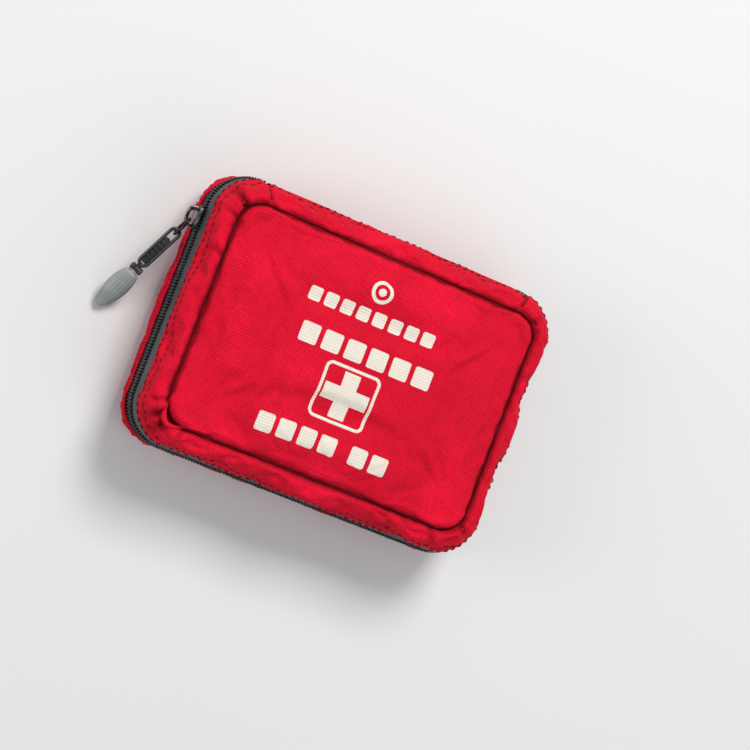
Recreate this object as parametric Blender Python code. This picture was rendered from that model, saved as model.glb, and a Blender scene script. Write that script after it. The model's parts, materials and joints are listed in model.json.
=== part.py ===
"""Soft zip-around first aid kit: two sewn trays hinged along one long edge.

The kit lies closed on its back panel.  X runs along the long edges, +Y points to the
spine (the hinge edge), +Z points out of the front panel.  The origin is the middle of
the back panel's outer face.
"""
import math

import bmesh
import bpy
from mathutils import Vector

MM = 0.001
GAP = 0.3 * MM

# Case
PANEL_HALF_X = 65.5 * MM
PANEL_HALF_Y = 46.0 * MM
PANEL_RADIUS = 10.0 * MM
RIM_HALF_X = 75.5 * MM
RIM_HALF_Y = 56.0 * MM
RIM_RADIUS = 17.0 * MM
THICKNESS = 46.0 * MM
MID_Z = THICKNESS / 2
CLOTH = 1.0 * MM
PANEL_SHEET = 1.4 * MM
CROWN = 3.4 * MM
GUSSET_RISE = 15.7 * MM
FRONT_GUSSET_RISE = 12.8 * MM
PANEL_INSET = 3.4 * MM
PIPING_INSET = 2.3 * MM
CORNER_STEPS = 7
PIPING_RADIUS = 0.8 * MM

# Zip
TAPE_WIDTH = 3.4 * MM
COIL_WIDTH = 2.1 * MM
COIL_HALF_THICK = 0.9 * MM
COIL_GAP = 1.4 * MM
ZIP_END_X = 58.0 * MM
STOP_LENGTH = 2.4 * MM

# Hinge along the spine
HINGE_TAPE_THICK = 0.7 * MM

# Slider and pull
SLIDER_Y = 33.0 * MM
SLIDER_LENGTH = 9.6 * MM
SLIDER_WIDTH = 8.6 * MM
SLIDER_PLATE = 1.3 * MM
PULL_OUTWARD = math.radians(22.0)
PULL_DROOP = math.radians(23.5)
RING_LENGTH = 8.6 * MM
RING_WIDTH = 6.6 * MM
RING_WIRE = 0.6 * MM
CLIP_LENGTH = 22.0 * MM
CLIP_WIDTH = 5.4 * MM
CLIP_SLOT = 2.4 * MM
CLIP_THICK = 2.6 * MM
BARREL_RADIUS = 1.5 * MM
GRIP_LENGTH = 20.0 * MM
GRIP_WIDTH = 8.8 * MM
GRIP_THICK = 4.2 * MM

# Layers inside, as heights above the back panel's outer face
NET_Z = 33.2 * MM
NET_SHEET = 0.6 * MM
TOOL_LOW_Z = 28.9 * MM
TOOL_HIGH_Z = 32.6 * MM

# Scissors
SCISSORS_AT = Vector((6.0 * MM, -8.0 * MM, 0.0))
RIVET_RADIUS = 1.6 * MM
HANDLE_OFFSET = Vector((-33.0 * MM, 11.4 * MM, 0.0))
HANDLE_OUTER = (15.0 * MM, 10.6 * MM)
HANDLE_INNER = (11.4 * MM, 7.2 * MM)

# Colours (linear RGB) of the fabrics, plastics and papers
RED = (0.60, 0.012, 0.035)
COLOURS = {
    "red_ripstop": (RED, 0.62, 0.0),
    "zip_tape": ((0.10, 0.11, 0.115), 0.40, 0.0),
    "zip_coil": ((0.012, 0.012, 0.013), 0.45, 0.0),
    "slider_metal": ((0.16, 0.16, 0.165), 0.35, 1.0),
    "ring_wire": ((0.03, 0.03, 0.032), 0.35, 1.0),
    "clip_plastic": ((0.012, 0.012, 0.013), 0.32, 0.0),
    "grip_plastic": ((0.19, 0.21, 0.20), 0.48, 0.0),
    "net": ((0.02, 0.02, 0.022), 0.7, 0.0),
    "elastic": ((0.02, 0.02, 0.022), 0.75, 0.0),
    "crepe": ((0.80, 0.72, 0.58), 0.85, 0.0),
    "white_cotton": ((0.85, 0.85, 0.82), 0.85, 0.0),
    "tape_core": ((0.75, 0.78, 0.80), 0.4, 0.0),
    "paper": ((0.84, 0.85, 0.84), 0.6, 0.0),
    "film": ((0.55, 0.72, 0.80), 0.3, 0.0),
    "blade_steel": ((0.60, 0.61, 0.62), 0.28, 1.0),
    "handle_plastic": ((0.015, 0.015, 0.016), 0.4, 0.0),
}


def material(slot):
    """The plain material for one slot, made once."""
    found = bpy.data.materials.get(slot)
    if found:
        return found
    colour, roughness, metallic = COLOURS[slot]
    made = bpy.data.materials.new(slot)
    made.use_nodes = True
    shader = made.node_tree.nodes["Principled BSDF"]
    shader.inputs["Base Color"].default_value = (*colour, 1.0)
    shader.inputs["Roughness"].default_value = roughness
    shader.inputs["Metallic"].default_value = metallic
    return made


def make(name, bm, slot, smooth_angle=35.0):
    """Turn a bmesh into a named object with outward faces."""
    bmesh.ops.recalc_face_normals(bm, faces=bm.faces)
    mesh = bpy.data.meshes.new(name)
    bm.to_mesh(mesh)
    bm.free()
    mesh.shade_smooth()
    mesh.set_sharp_from_angle(angle=math.radians(smooth_angle))
    mesh.materials.append(material(slot))
    made = bpy.data.objects.new(name, mesh)
    bpy.context.scene.collection.objects.link(made)
    return made


def add_rings(bm, rings, wrap_rings=False, wrap_points=True):
    """Join a list of equal-length point rings with quads; returns the vertex rings."""
    rows = [[bm.verts.new(point) for point in ring] for ring in rings]
    count = len(rows[0])
    row_total = len(rows) if wrap_rings else len(rows) - 1
    point_total = count if wrap_points else count - 1
    for row in range(row_total):
        low = rows[row]
        high = rows[(row + 1) % len(rows)]
        for i in range(point_total):
            j = (i + 1) % count
            bm.faces.new((low[i], low[j], high[j], high[i]))
    return rows


def loft(name, rings, slot, smooth_angle=35.0):
    """A solid through closed rings, capped at both ends."""
    bm = bmesh.new()
    rows = add_rings(bm, rings)
    bm.faces.new(list(reversed(rows[0])))
    bm.faces.new(rows[-1])
    return make(name, bm, slot, smooth_angle)


def hoop(name, rings, slot, smooth_angle=35.0):
    """A solid whose rings close on themselves, like a band or a torus."""
    bm = bmesh.new()
    add_rings(bm, rings, wrap_rings=True)
    return make(name, bm, slot, smooth_angle)


def outline(half_x, half_y, radius, steps=CORNER_STEPS):
    """Rounded rectangle, counter-clockwise, starting at the right side's lower end."""
    points = []
    for quarter in range(4):
        centre_x = (half_x - radius) * (1 if quarter in (0, 3) else -1)
        centre_y = (half_y - radius) * (1 if quarter in (0, 1) else -1)
        for step in range(steps + 1):
            angle = math.radians(90.0 * (quarter + step / steps))
            points.append((centre_x + radius * math.cos(angle), centre_y + radius * math.sin(angle)))
    return points


def case_outline(share, inset=0.0):
    """The case's outline: share 0 at the panel seam, share 1 at the zip rim."""
    half_x = PANEL_HALF_X + (RIM_HALF_X - PANEL_HALF_X) * share - inset
    half_y = PANEL_HALF_Y + (RIM_HALF_Y - PANEL_HALF_Y) * share - inset
    radius = PANEL_RADIUS + (RIM_RADIUS - PANEL_RADIUS) * share - inset
    return outline(half_x, half_y, radius)


def at_height(points, z):
    """Lift flat points to one height."""
    return [Vector((x, y, z)) for x, y in points]


def mirror_up(rings):
    """The same rings reflected in the zip's mid-plane, for the front tray."""
    return [[Vector((p.x, p.y, THICKNESS - p.z)) for p in ring] for ring in rings]


def gusset_rings(seam_z, rise, levels=5):
    """Band that leaves the panel seam level and turns upright at the zip tape."""
    outer = []
    inner = []
    for level in range(levels):
        angle = math.radians(90.0 * level / (levels - 1))
        share = math.sin(angle)
        z = seam_z + rise * (1.0 - math.cos(angle))
        outer.append(at_height(case_outline(share), z))
        inner.append(at_height(case_outline(share, CLOTH), z + CLOTH * math.cos(angle)))
    return outer + list(reversed(inner))


def panel_outline(inset):
    """Panel outline moved inwards, its corners kept a little round."""
    radius = max(PANEL_RADIUS - inset, 2.0 * MM)
    return outline(PANEL_HALF_X - inset, PANEL_HALF_Y - inset, radius)


def make_panels():
    """Flat back panel and crowned front panel."""
    edge = panel_outline(PANEL_INSET)
    loft("back_panel", [at_height(edge, 0.0), at_height(edge, PANEL_SHEET)], "red_ripstop")
    outer = []
    for inset in (PANEL_INSET, 8.0 * MM, 16.0 * MM, 27.0 * MM, 38.0 * MM):
        share = (inset - PANEL_INSET) / (PANEL_HALF_Y - PANEL_INSET)
        lift = CROWN * (1.0 - (1.0 - share) ** 2.4)
        outer.append(at_height(panel_outline(inset), THICKNESS - CROWN + lift))
    inner = [[p - Vector((0, 0, PANEL_SHEET)) for p in ring] for ring in outer]
    loft("front_panel", list(reversed(inner)) + outer, "red_ripstop")


def make_gussets():
    """Sloping walls of both trays."""
    hoop("back_gusset", gusset_rings(0.5 * MM, GUSSET_RISE), "red_ripstop")
    front = gusset_rings(CROWN, FRONT_GUSSET_RISE)
    hoop("front_gusset", mirror_up(front), "red_ripstop")


def piping_rings(z, sides=6):
    """Round cord between the panel's edge and the gusset's edge."""
    rings = []
    for side in range(sides):
        angle = math.tau * side / sides
        offset = PIPING_INSET + PIPING_RADIUS * math.cos(angle)
        rings.append(at_height(panel_outline(offset), z + PIPING_RADIUS * math.sin(angle)))
    return rings


def make_piping():
    """Cord sewn into each panel seam."""
    hoop("back_piping", piping_rings(PIPING_RADIUS + 0.1 * MM), "red_ripstop")
    hoop("front_piping", piping_rings(THICKNESS - CROWN), "red_ripstop")


def zip_path(inset):
    """Open path of the zip: down one short side, along the long edge and up the other."""
    points = outline(RIM_HALF_X - inset, RIM_HALF_Y - inset, RIM_RADIUS - inset)
    corner = CORNER_STEPS + 1
    top = RIM_HALF_Y - inset
    return [(-ZIP_END_X, top)] + points[corner:] + points[:corner] + [(ZIP_END_X, top)]


def zip_strip(name, inset_out, inset_in, low, high, slot):
    """Upright strip that follows the zip's path."""
    rings = []
    for (ox, oy), (ix, iy) in zip(zip_path(inset_out), zip_path(inset_in)):
        outer = [Vector((ox, oy, low)), Vector((ox, oy, high))]
        inner = [Vector((ix, iy, high)), Vector((ix, iy, low))]
        rings.append(outer + inner)
    return loft(name, rings, slot)


def make_zip():
    """Tape and coil of each half, with the end stops."""
    coil_low = MID_Z - COIL_GAP / 2 - COIL_WIDTH
    coil_high = MID_Z - COIL_GAP / 2
    tape_high = coil_low - GAP
    tape_low = tape_high - TAPE_WIDTH
    coil_out = CLOTH / 2 - COIL_HALF_THICK
    coil_in = CLOTH / 2 + COIL_HALF_THICK
    zip_strip("back_zip_tape", 0.0, CLOTH, tape_low, tape_high, "zip_tape")
    zip_strip("back_zip_coil", coil_out, coil_in, coil_low, coil_high, "zip_coil")
    zip_strip("front_zip_tape", 0.0, CLOTH, THICKNESS - tape_high, THICKNESS - tape_low, "zip_tape")
    zip_strip("front_zip_coil", coil_out, coil_in, THICKNESS - coil_high, THICKNESS - coil_low, "zip_coil")
    for side, name in ((-1, "zip_stop_left"), (1, "zip_stop_right")):
        middle = side * (ZIP_END_X - GAP - STOP_LENGTH / 2)
        size = (STOP_LENGTH, 2 * COIL_HALF_THICK, COIL_WIDTH)
        centre = (middle, RIM_HALF_Y - CLOTH / 2, (coil_low + coil_high) / 2)
        block(name, size, centre, "slider_metal", 0.3 * MM)


def make_spine():
    """Plain cloth along the hinge edge, and the tape that bends between the trays."""
    half_x = ZIP_END_X - 2 * GAP - STOP_LENGTH - GAP
    low = MID_Z - COIL_GAP / 2 - COIL_WIDTH - GAP - TAPE_WIDTH
    high = MID_Z - 0.4 * MM
    middle_y = RIM_HALF_Y - CLOTH / 2
    size = (2 * half_x, CLOTH, high - low)
    block("spine_back", size, (0.0, middle_y, (low + high) / 2), "red_ripstop")
    block("spine_front", size, (0.0, middle_y, THICKNESS - (low + high) / 2), "red_ripstop")
    hinge_size = (2 * half_x, HINGE_TAPE_THICK, 8.0 * MM)
    hinge_at = (0.0, RIM_HALF_Y + GAP + HINGE_TAPE_THICK / 2, MID_Z)
    block("spine_hinge_tape", hinge_size, hinge_at, "red_ripstop")


def block(name, size, centre, slot, bevel=0.0, segments=1):
    """Box of a size about a centre, with optional bevelled edges."""
    bm = bmesh.new()
    bmesh.ops.create_cube(bm, size=1.0)
    bmesh.ops.scale(bm, vec=size, verts=bm.verts)
    if bevel:
        bmesh.ops.bevel(bm, geom=bm.edges, offset=bevel, segments=segments, affect="EDGES", profile=0.5)
    bmesh.ops.translate(bm, vec=centre, verts=bm.verts)
    return make(name, bm, slot)


def prism(name, points, low, high, slot):
    """Extrude a flat outline between two heights."""
    return loft(name, [at_height(points, low), at_height(points, high)], slot)


def join_solids(base, others):
    """Boolean-union other solids into the first and apply it."""
    for other in others:
        modifier = base.modifiers.new("join", "BOOLEAN")
        modifier.operation = "UNION"
        modifier.object = other
    apply_modifiers(base)
    for other in others:
        bpy.data.objects.remove(other, do_unlink=True)


def apply_modifiers(target):
    """Replace an object's mesh by its evaluated one."""
    bpy.context.view_layer.update()
    graph = bpy.context.evaluated_depsgraph_get()
    mesh = bpy.data.meshes.new_from_object(target.evaluated_get(graph))
    target.modifiers.clear()
    target.data = mesh


def slider_bodies():
    """Boxes that make the slider: two plates, the web between them, flanges and the bridge."""
    outer_face = -(RIM_HALF_X - CLOTH / 2 + COIL_HALF_THICK) - 0.4 * MM
    inner_face = -(RIM_HALF_X - CLOTH / 2 - COIL_HALF_THICK) + 0.4 * MM
    outer_x = outer_face - SLIDER_PLATE / 2
    inner_x = inner_face + SLIDER_PLATE / 2
    web_width = COIL_GAP - 0.5 * MM
    leg_y = SLIDER_LENGTH / 2 - 1.3 * MM
    rise = 3.6 * MM
    top_x = outer_face - SLIDER_PLATE - rise + 0.5 * MM
    boxes = [((SLIDER_PLATE, SLIDER_LENGTH, SLIDER_WIDTH), (outer_x, SLIDER_Y, MID_Z))]
    boxes.append(((SLIDER_PLATE, SLIDER_LENGTH, SLIDER_WIDTH), (inner_x, SLIDER_Y, MID_Z)))
    web_x = (outer_face + inner_face) / 2
    web_depth = inner_face - outer_face + SLIDER_PLATE
    boxes.append(((web_depth, 3.0 * MM, web_width), (web_x, SLIDER_Y + 2.6 * MM, MID_Z)))
    for side in (-1, 1):
        leg_x = outer_face - SLIDER_PLATE - rise / 2 + 0.3 * MM
        boxes.append(((rise, 1.2 * MM, 2.2 * MM), (leg_x, SLIDER_Y + side * leg_y, MID_Z)))
    boxes.append(((1.0 * MM, 2 * leg_y + 1.2 * MM, 2.2 * MM), (top_x, SLIDER_Y, MID_Z)))
    return boxes


def make_slider():
    """Zip slider, parked at the top of the left side."""
    solids = []
    for number, (size, centre) in enumerate(slider_bodies()):
        solids.append(block("slider_piece_%d" % number, size, centre, "slider_metal", 0.25 * MM))
    base = solids[0]
    join_solids(base, solids[1:])
    base.name = "zip_slider"


def pull_frame():
    """Hinge point on the slider, and the pull's own directions: along, across and normal."""
    outward = Vector((-math.sin(PULL_OUTWARD), -math.cos(PULL_OUTWARD), 0.0))
    along = outward * math.cos(PULL_DROOP) - Vector((0, 0, math.sin(PULL_DROOP)))
    normal = outward * math.sin(PULL_DROOP) + Vector((0, 0, math.cos(PULL_DROOP)))
    across = normal.cross(along)
    bar_x = -(RIM_HALF_X - CLOTH / 2 + COIL_HALF_THICK) - 0.4 * MM - SLIDER_PLATE - 1.5 * MM
    bridge = Vector((bar_x, SLIDER_Y - 1.4 * MM, MID_Z))
    return bridge, along, across, normal


def place(points, origin, axis_x, axis_y, axis_z):
    """Map local points onto three world directions at an origin."""
    return [origin + axis_x * p[0] + axis_y * p[1] + axis_z * p[2] for p in points]


def wire_loop(path, radius, normal, sides=8):
    """Rings of a round wire along a closed flat path with the given plane normal."""
    rings = []
    total = len(path)
    for index, point in enumerate(path):
        tangent = (path[(index + 1) % total] - path[index - 1]).normalized()
        side = tangent.cross(normal).normalized()
        ring = []
        for step in range(sides):
            angle = math.tau * step / sides
            ring.append(point + side * (radius * math.cos(angle)) + normal * (radius * math.sin(angle)))
        rings.append(ring)
    return rings


def slotted_plate(name, length, width, slot_width, thick, origin, frame, slot):
    """Flat link with round ends and one long slot; its origin is the slot's first end."""
    along, across, normal = frame
    outer_r = width / 2
    inner_r = slot_width / 2
    straight = length - width
    rings = []
    half = thick / 2
    for radius, height in ((outer_r, -half), (outer_r, half), (inner_r, half), (inner_r, -half)):
        points = []
        for end, start_angle in ((straight, -90.0), (0.0, 90.0)):
            for step in range(9):
                angle = math.radians(start_angle + 180.0 * step / 8)
                points.append((end + radius * math.cos(angle), radius * math.sin(angle), height))
        rings.append(place(points, origin, along, across, normal))
    return hoop(name, rings, slot)


def make_pull():
    """Wire ring, slotted clip, barrel and oval grip hanging from the slider."""
    bridge, along, across, normal = pull_frame()
    half_w = RING_WIDTH / 2
    middle = bridge + along * (RING_LENGTH / 2)
    flat = outline(RING_LENGTH / 2, half_w, 2.2 * MM, 4)
    path = [middle + along * x + normal * y for x, y in flat]
    hoop("pull_ring", wire_loop(path, RING_WIRE, across), "ring_wire", 60.0)
    eye = bridge + along * RING_LENGTH
    axes = (along, across, normal)
    slotted_plate("pull_clip", CLIP_LENGTH, CLIP_WIDTH, CLIP_SLOT, CLIP_THICK, eye, axes, "clip_plastic")
    barrel_at = eye + along * (CLIP_LENGTH - CLIP_WIDTH / 2 + GAP + BARREL_RADIUS)
    barrel_rings = []
    for share in (-1, 1):
        ring = []
        for step in range(12):
            angle = math.tau * step / 12
            offset = along * (BARREL_RADIUS * math.cos(angle)) + normal * (BARREL_RADIUS * math.sin(angle))
            ring.append(barrel_at + across * (share * CLIP_WIDTH / 2) + offset)
        barrel_rings.append(ring)
    loft("pull_barrel", barrel_rings, "clip_plastic")
    make_grip(barrel_at + along * (BARREL_RADIUS + GAP), along, across, normal)


def make_grip(start, along, across, normal):
    """Oval moulded grip: lens-shaped sections from a narrow neck to a round end."""
    rings = []
    stations = ((0.0, 0.55), (0.08, 0.72), (0.25, 0.93), (0.5, 1.0), (0.75, 0.93), (0.92, 0.62), (1.0, 0.3))
    for share, scale in stations:
        ring = []
        for step in range(12):
            angle = math.tau * step / 12
            wide = across * (GRIP_WIDTH / 2 * scale * math.cos(angle))
            deep = normal * (GRIP_THICK / 2 * (0.55 + 0.45 * scale) * math.sin(angle))
            ring.append(start + along * (GRIP_LENGTH * share) + wide + deep)
        rings.append(ring)
    loft("pull_grip", rings, "grip_plastic", 50.0)


def cylinder(name, radius, length, centre, axis, slot, steps=20):
    """Round bar about one world axis, its end edges slightly eased."""
    rings = []
    ease = min(0.08 * radius, 0.6 * MM)
    half = length / 2
    ends = ((-half, radius - ease), (-half + ease, radius), (half - ease, radius), (half, radius - ease))
    for station, ring_radius in ends:
        ring = []
        for step in range(steps):
            angle = math.tau * step / steps
            flat = Vector((ring_radius * math.cos(angle), ring_radius * math.sin(angle), station))
            if axis == "Y":
                flat = Vector((flat.x, flat.z, flat.y))
            ring.append(Vector(centre) + flat)
        rings.append(ring)
    return loft(name, rings, slot)


def tube(name, outer, inner, low, high, centre, slot, steps=20):
    """Upright round tube."""
    rings = []
    for radius, z in ((outer, low), (outer, high), (inner, high), (inner, low)):
        ring = []
        for step in range(steps):
            angle = math.tau * step / steps
            x = centre[0] + radius * math.cos(angle)
            y = centre[1] + radius * math.sin(angle)
            ring.append(Vector((x, y, z)))
        rings.append(ring)
    return hoop(name, rings, slot)


def packet(name, low, high, slot, edge=2.5 * MM):
    """Soft flat packet: a rounded box whose faces draw in towards the rim."""
    centre_x = (low[0] + high[0]) / 2
    centre_y = (low[1] + high[1]) / 2
    half_x = (high[0] - low[0]) / 2
    half_y = (high[1] - low[1]) / 2
    draw = min(edge, (high[2] - low[2]) / 2)
    rings = []
    for inset, z in ((draw, low[2]), (0.0, low[2] + draw), (0.0, high[2] - draw * 0.9), (draw, high[2])):
        flat = outline(half_x - inset, half_y - inset, 3.0 * MM, 3)
        rings.append([Vector((x + centre_x, y + centre_y, z)) for x, y in flat])
    return loft(name, rings, slot)


def mm_box(*values):
    """Six numbers in millimetres as a low and a high corner in metres."""
    return [v * MM for v in values[:3]], [v * MM for v in values[3:]]


def bent_strip(name, path, thick, along_axis, low, high, slot):
    """Thin strip bent in an upright plane; path is (sideways, height) pairs in mm."""
    rings = []
    points = [Vector((a * MM, b * MM)) for a, b in path]
    for index, point in enumerate(points):
        before = points[max(index - 1, 0)]
        after = points[min(index + 1, len(points) - 1)]
        tangent = (after - before).normalized()
        side = Vector((-tangent.y, tangent.x)) * thick
        ring = []
        for flat, across in ((point, low), (point, high), (point + side, high), (point + side, low)):
            if along_axis == "X":
                ring.append(Vector((flat.x, across, flat.y)))
            else:
                ring.append(Vector((across, flat.x, flat.y)))
        rings.append(ring)
    return loft(name, rings, slot)


def make_back_contents():
    """What lies in the back tray."""
    packet("leaflet", *mm_box(-52, -37, 1.9, 52, 37, 2.9), "paper", 0.3 * MM)
    roll_z = 14.3 * MM
    cylinder("crepe_bandage_roll", 11 * MM, 74 * MM, (-51 * MM, 0, roll_z), "Y", "crepe")
    cylinder("conforming_bandage_roll", 11 * MM, 50 * MM, (-27 * MM, -14 * MM, roll_z), "Y", "white_cotton")
    tape_at = (-24 * MM, 27 * MM)
    tube("tape_roll", 13.6 * MM, 10.3 * MM, 3.4 * MM, 15.9 * MM, tape_at, "white_cotton")
    tube("tape_core", 10.0 * MM, 9.1 * MM, 3.4 * MM, 15.9 * MM, tape_at, "tape_core")
    packet("triangular_bandage_packet", *mm_box(-12, -42, 3.3, 58, -4, 17), "film")
    packet("wound_dressing_packet", *mm_box(-6, 0, 3.3, 58, 40, 18), "paper")
    packet("plaster_stack", *mm_box(2, -34, 17.4, 54, -14, 20.4), "crepe", 0.5 * MM)
    packet("wipe_sachet_1", *mm_box(2, 6, 18.4, 27, 36, 20.2), "paper", 0.8 * MM)
    packet("wipe_sachet_2", *mm_box(31, 6, 18.4, 56, 36, 20.2), "film", 0.8 * MM)
    left = ((-64.2, 5.0), (-64.2, 18.0), (-58.0, 25.7), (-50.0, 26.4))
    right = ((-28.0, 26.4), (-20.0, 25.8), (-14.6, 19.0), (-14.0, 4.0))
    bent_strip("rolls_strap", left + right, 0.7 * MM, "X", -12 * MM, 0.0, "elastic")
    for number, start_x in ((1, 8.0), (2, 34.0)):
        flat = outline(9.0 * MM, 2.6 * MM, 2.5 * MM, 3)
        path = [Vector((x + (start_x + 8) * MM, y - 9.0 * MM, 18.0 * MM)) for x, y in flat]
        hoop("safety_pin_%d" % number, wire_loop(path, 0.5 * MM, Vector((0, 0, 1)), 6), "blade_steel", 60.0)


def make_front_contents():
    """Net pocket inside the front tray and what it holds."""
    low = (-60 * MM, -46 * MM, NET_Z)
    high = (60 * MM, 34 * MM, NET_Z + NET_SHEET)
    packet("net_pocket", low, high, "net", 0.1 * MM)
    packet("net_binding", *mm_box(-60, 34.3, 32.9, 60, 41, 34.1), "elastic", 0.3 * MM)
    packet("gloves_packet", *mm_box(-58, -38, 34.2, -4, 28, 40.2), "film")
    packet("gauze_packet_1", *mm_box(0, -38, 34.2, 56, -6, 40.2), "paper")
    packet("gauze_packet_2", *mm_box(0, -2, 34.2, 56, 28, 40.2), "paper")
    tip = 38.0
    lower = ((-tip, -1.4), (tip, -3.6), (tip + 0.4, -3.0), (-30, -0.5))
    upper = ((-30, 0.5), (tip + 0.4, 3.0), (tip, 3.6), (-tip, 1.4))
    prism("tweezers", [(x * MM, (y - 41) * MM) for x, y in lower + upper], 29.5 * MM, 32.5 * MM, "blade_steel")


def scissor_points(side):
    """Flat outline of one blade and its tang, its pivot at (0, 0), in metres."""
    outside = ((36, 0.2), (31, 2.4), (8, 3.6), (-2, 3.4), (-18.2, -7.0))
    inside = ((-15.2, -10.6), (0, -2.6), (8, -1.4), (34, -0.8))
    points = [(SCISSORS_AT.x + x * MM, SCISSORS_AT.y + side * y * MM) for x, y in outside + inside]
    return points if side > 0 else list(reversed(points))


def make_scissors():
    """Two crossed blades on a rivet, each with a moulded finger loop."""
    pivot = (SCISSORS_AT.x, SCISSORS_AT.y)
    hole = cylinder("rivet_hole", RIVET_RADIUS + GAP, 12 * MM, (*pivot, 30.8 * MM), "Z", "net", 16)
    hole.hide_render = True
    hole.display_type = "WIRE"
    layers = (
        ("scissors_blade_fixed", "scissors_handle_fixed", 1, 30.85 * MM),
        ("scissors_blade_moving", "scissors_handle_moving", -1, 29.4 * MM),
    )
    for blade_name, handle_name, side, low in layers:
        blade = prism(blade_name, scissor_points(side), low, low + 1.15 * MM, "blade_steel")
        cut = blade.modifiers.new("rivet_hole", "BOOLEAN")
        cut.operation = "DIFFERENCE"
        cut.object = hole
        centre_x = SCISSORS_AT.x + HANDLE_OFFSET.x
        centre_y = SCISSORS_AT.y - side * HANDLE_OFFSET.y
        rings = []
        outside = ((HANDLE_OUTER, TOOL_LOW_Z), (HANDLE_OUTER, TOOL_HIGH_Z))
        inside = ((HANDLE_INNER, TOOL_HIGH_Z), (HANDLE_INNER, TOOL_LOW_Z))
        for half, z in outside + inside:
            ring = []
            for step in range(24):
                angle = math.tau * step / 24
                x = centre_x + half[0] * math.cos(angle)
                y = centre_y + half[1] * math.sin(angle)
                ring.append(Vector((x, y, z)))
            rings.append(ring)
        hoop(handle_name, rings, "handle_plastic")
    cylinder("scissors_rivet", RIVET_RADIUS, 3.4 * MM, (*pivot, 30.75 * MM), "Z", "blade_steel", 16)
    loop = ((-31.0, 33.0), (-31.0, 28.4), (-30.4, 27.9), (-26.2, 27.9), (-25.6, 28.4), (-25.6, 33.0))
    bent_strip("scissors_loop", loop, 0.5 * MM, "Y", -31 * MM, -23 * MM, "elastic")


def main():
    """Build every piece of the kit."""
    for old in list(bpy.data.objects):
        bpy.data.objects.remove(old, do_unlink=True)
    make_panels()
    make_gussets()
    make_piping()
    make_zip()
    make_spine()
    make_slider()
    make_pull()
    make_back_contents()
    make_front_contents()
    make_scissors()


main()
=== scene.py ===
"""Looks of the zip-around first aid kit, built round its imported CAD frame.
"""
import json
import math

import bmesh
import bpy
import numpy as np
from mathutils import Matrix, Vector, noise


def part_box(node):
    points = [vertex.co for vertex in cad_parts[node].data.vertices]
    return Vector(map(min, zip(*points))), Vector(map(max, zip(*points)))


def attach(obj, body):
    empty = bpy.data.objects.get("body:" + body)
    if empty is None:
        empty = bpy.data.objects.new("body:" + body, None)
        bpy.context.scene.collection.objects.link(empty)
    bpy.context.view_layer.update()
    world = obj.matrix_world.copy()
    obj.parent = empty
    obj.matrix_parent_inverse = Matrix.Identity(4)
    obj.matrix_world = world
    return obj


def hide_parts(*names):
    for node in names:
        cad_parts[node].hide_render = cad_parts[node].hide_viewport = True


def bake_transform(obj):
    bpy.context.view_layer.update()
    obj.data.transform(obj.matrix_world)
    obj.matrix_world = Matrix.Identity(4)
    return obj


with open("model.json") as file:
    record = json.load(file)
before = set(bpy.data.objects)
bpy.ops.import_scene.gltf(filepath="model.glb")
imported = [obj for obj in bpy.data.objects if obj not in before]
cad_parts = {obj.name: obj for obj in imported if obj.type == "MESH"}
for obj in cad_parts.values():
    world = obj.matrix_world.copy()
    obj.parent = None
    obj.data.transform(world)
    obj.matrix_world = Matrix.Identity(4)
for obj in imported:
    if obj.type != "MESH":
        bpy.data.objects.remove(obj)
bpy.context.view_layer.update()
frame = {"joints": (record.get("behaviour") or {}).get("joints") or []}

MM = 0.001

# Sizes read from the frame
RIM_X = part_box("back_gusset")[1].x
RIM_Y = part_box("back_gusset")[1].y
RIM_RADIUS = 17.0 * MM
PANEL_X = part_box("front_panel")[1].x + 3.4 * MM
PANEL_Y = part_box("front_panel")[1].y + 3.4 * MM
PANEL_RADIUS = 10.0 * MM
TOP_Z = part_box("front_panel")[1].z
SEAM_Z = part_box("front_gusset")[1].z
GUSSET_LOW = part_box("front_gusset")[0].z
BACK_SEAM_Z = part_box("back_gusset")[0].z
BACK_RIM_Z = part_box("back_gusset")[1].z
MID_Z = (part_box("front_zip_tape")[0].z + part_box("back_zip_tape")[1].z) / 2
SPINE_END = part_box("spine_back")[1].x


def joint(name):
    """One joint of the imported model."""
    return next(item for item in frame["joints"] if item["name"] == name)


# Point counts round an outline: long side, short side, corner
SIDE_X = 78
SIDE_Y = 50
CORNER = 24


# ---------------------------------------------------------------- shader helpers

def arithmetic(operation, swapped=False):
    """A method that puts one maths node after a value."""
    def method(self, other=0.0):
        pair = (other, self) if swapped else (self, other)
        return self.net.math(operation, *pair)

    return method


class Value:
    """A node's output, to which plain arithmetic adds maths nodes."""

    def __init__(self, net, socket):
        self.net = net
        self.socket = socket

    __add__ = arithmetic("ADD")
    __sub__ = arithmetic("SUBTRACT")
    __rsub__ = arithmetic("SUBTRACT", swapped=True)
    __mul__ = arithmetic("MULTIPLY")
    __truediv__ = arithmetic("DIVIDE")
    __abs__ = arithmetic("ABSOLUTE")
    least = arithmetic("MINIMUM")
    most = arithmetic("MAXIMUM")


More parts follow.
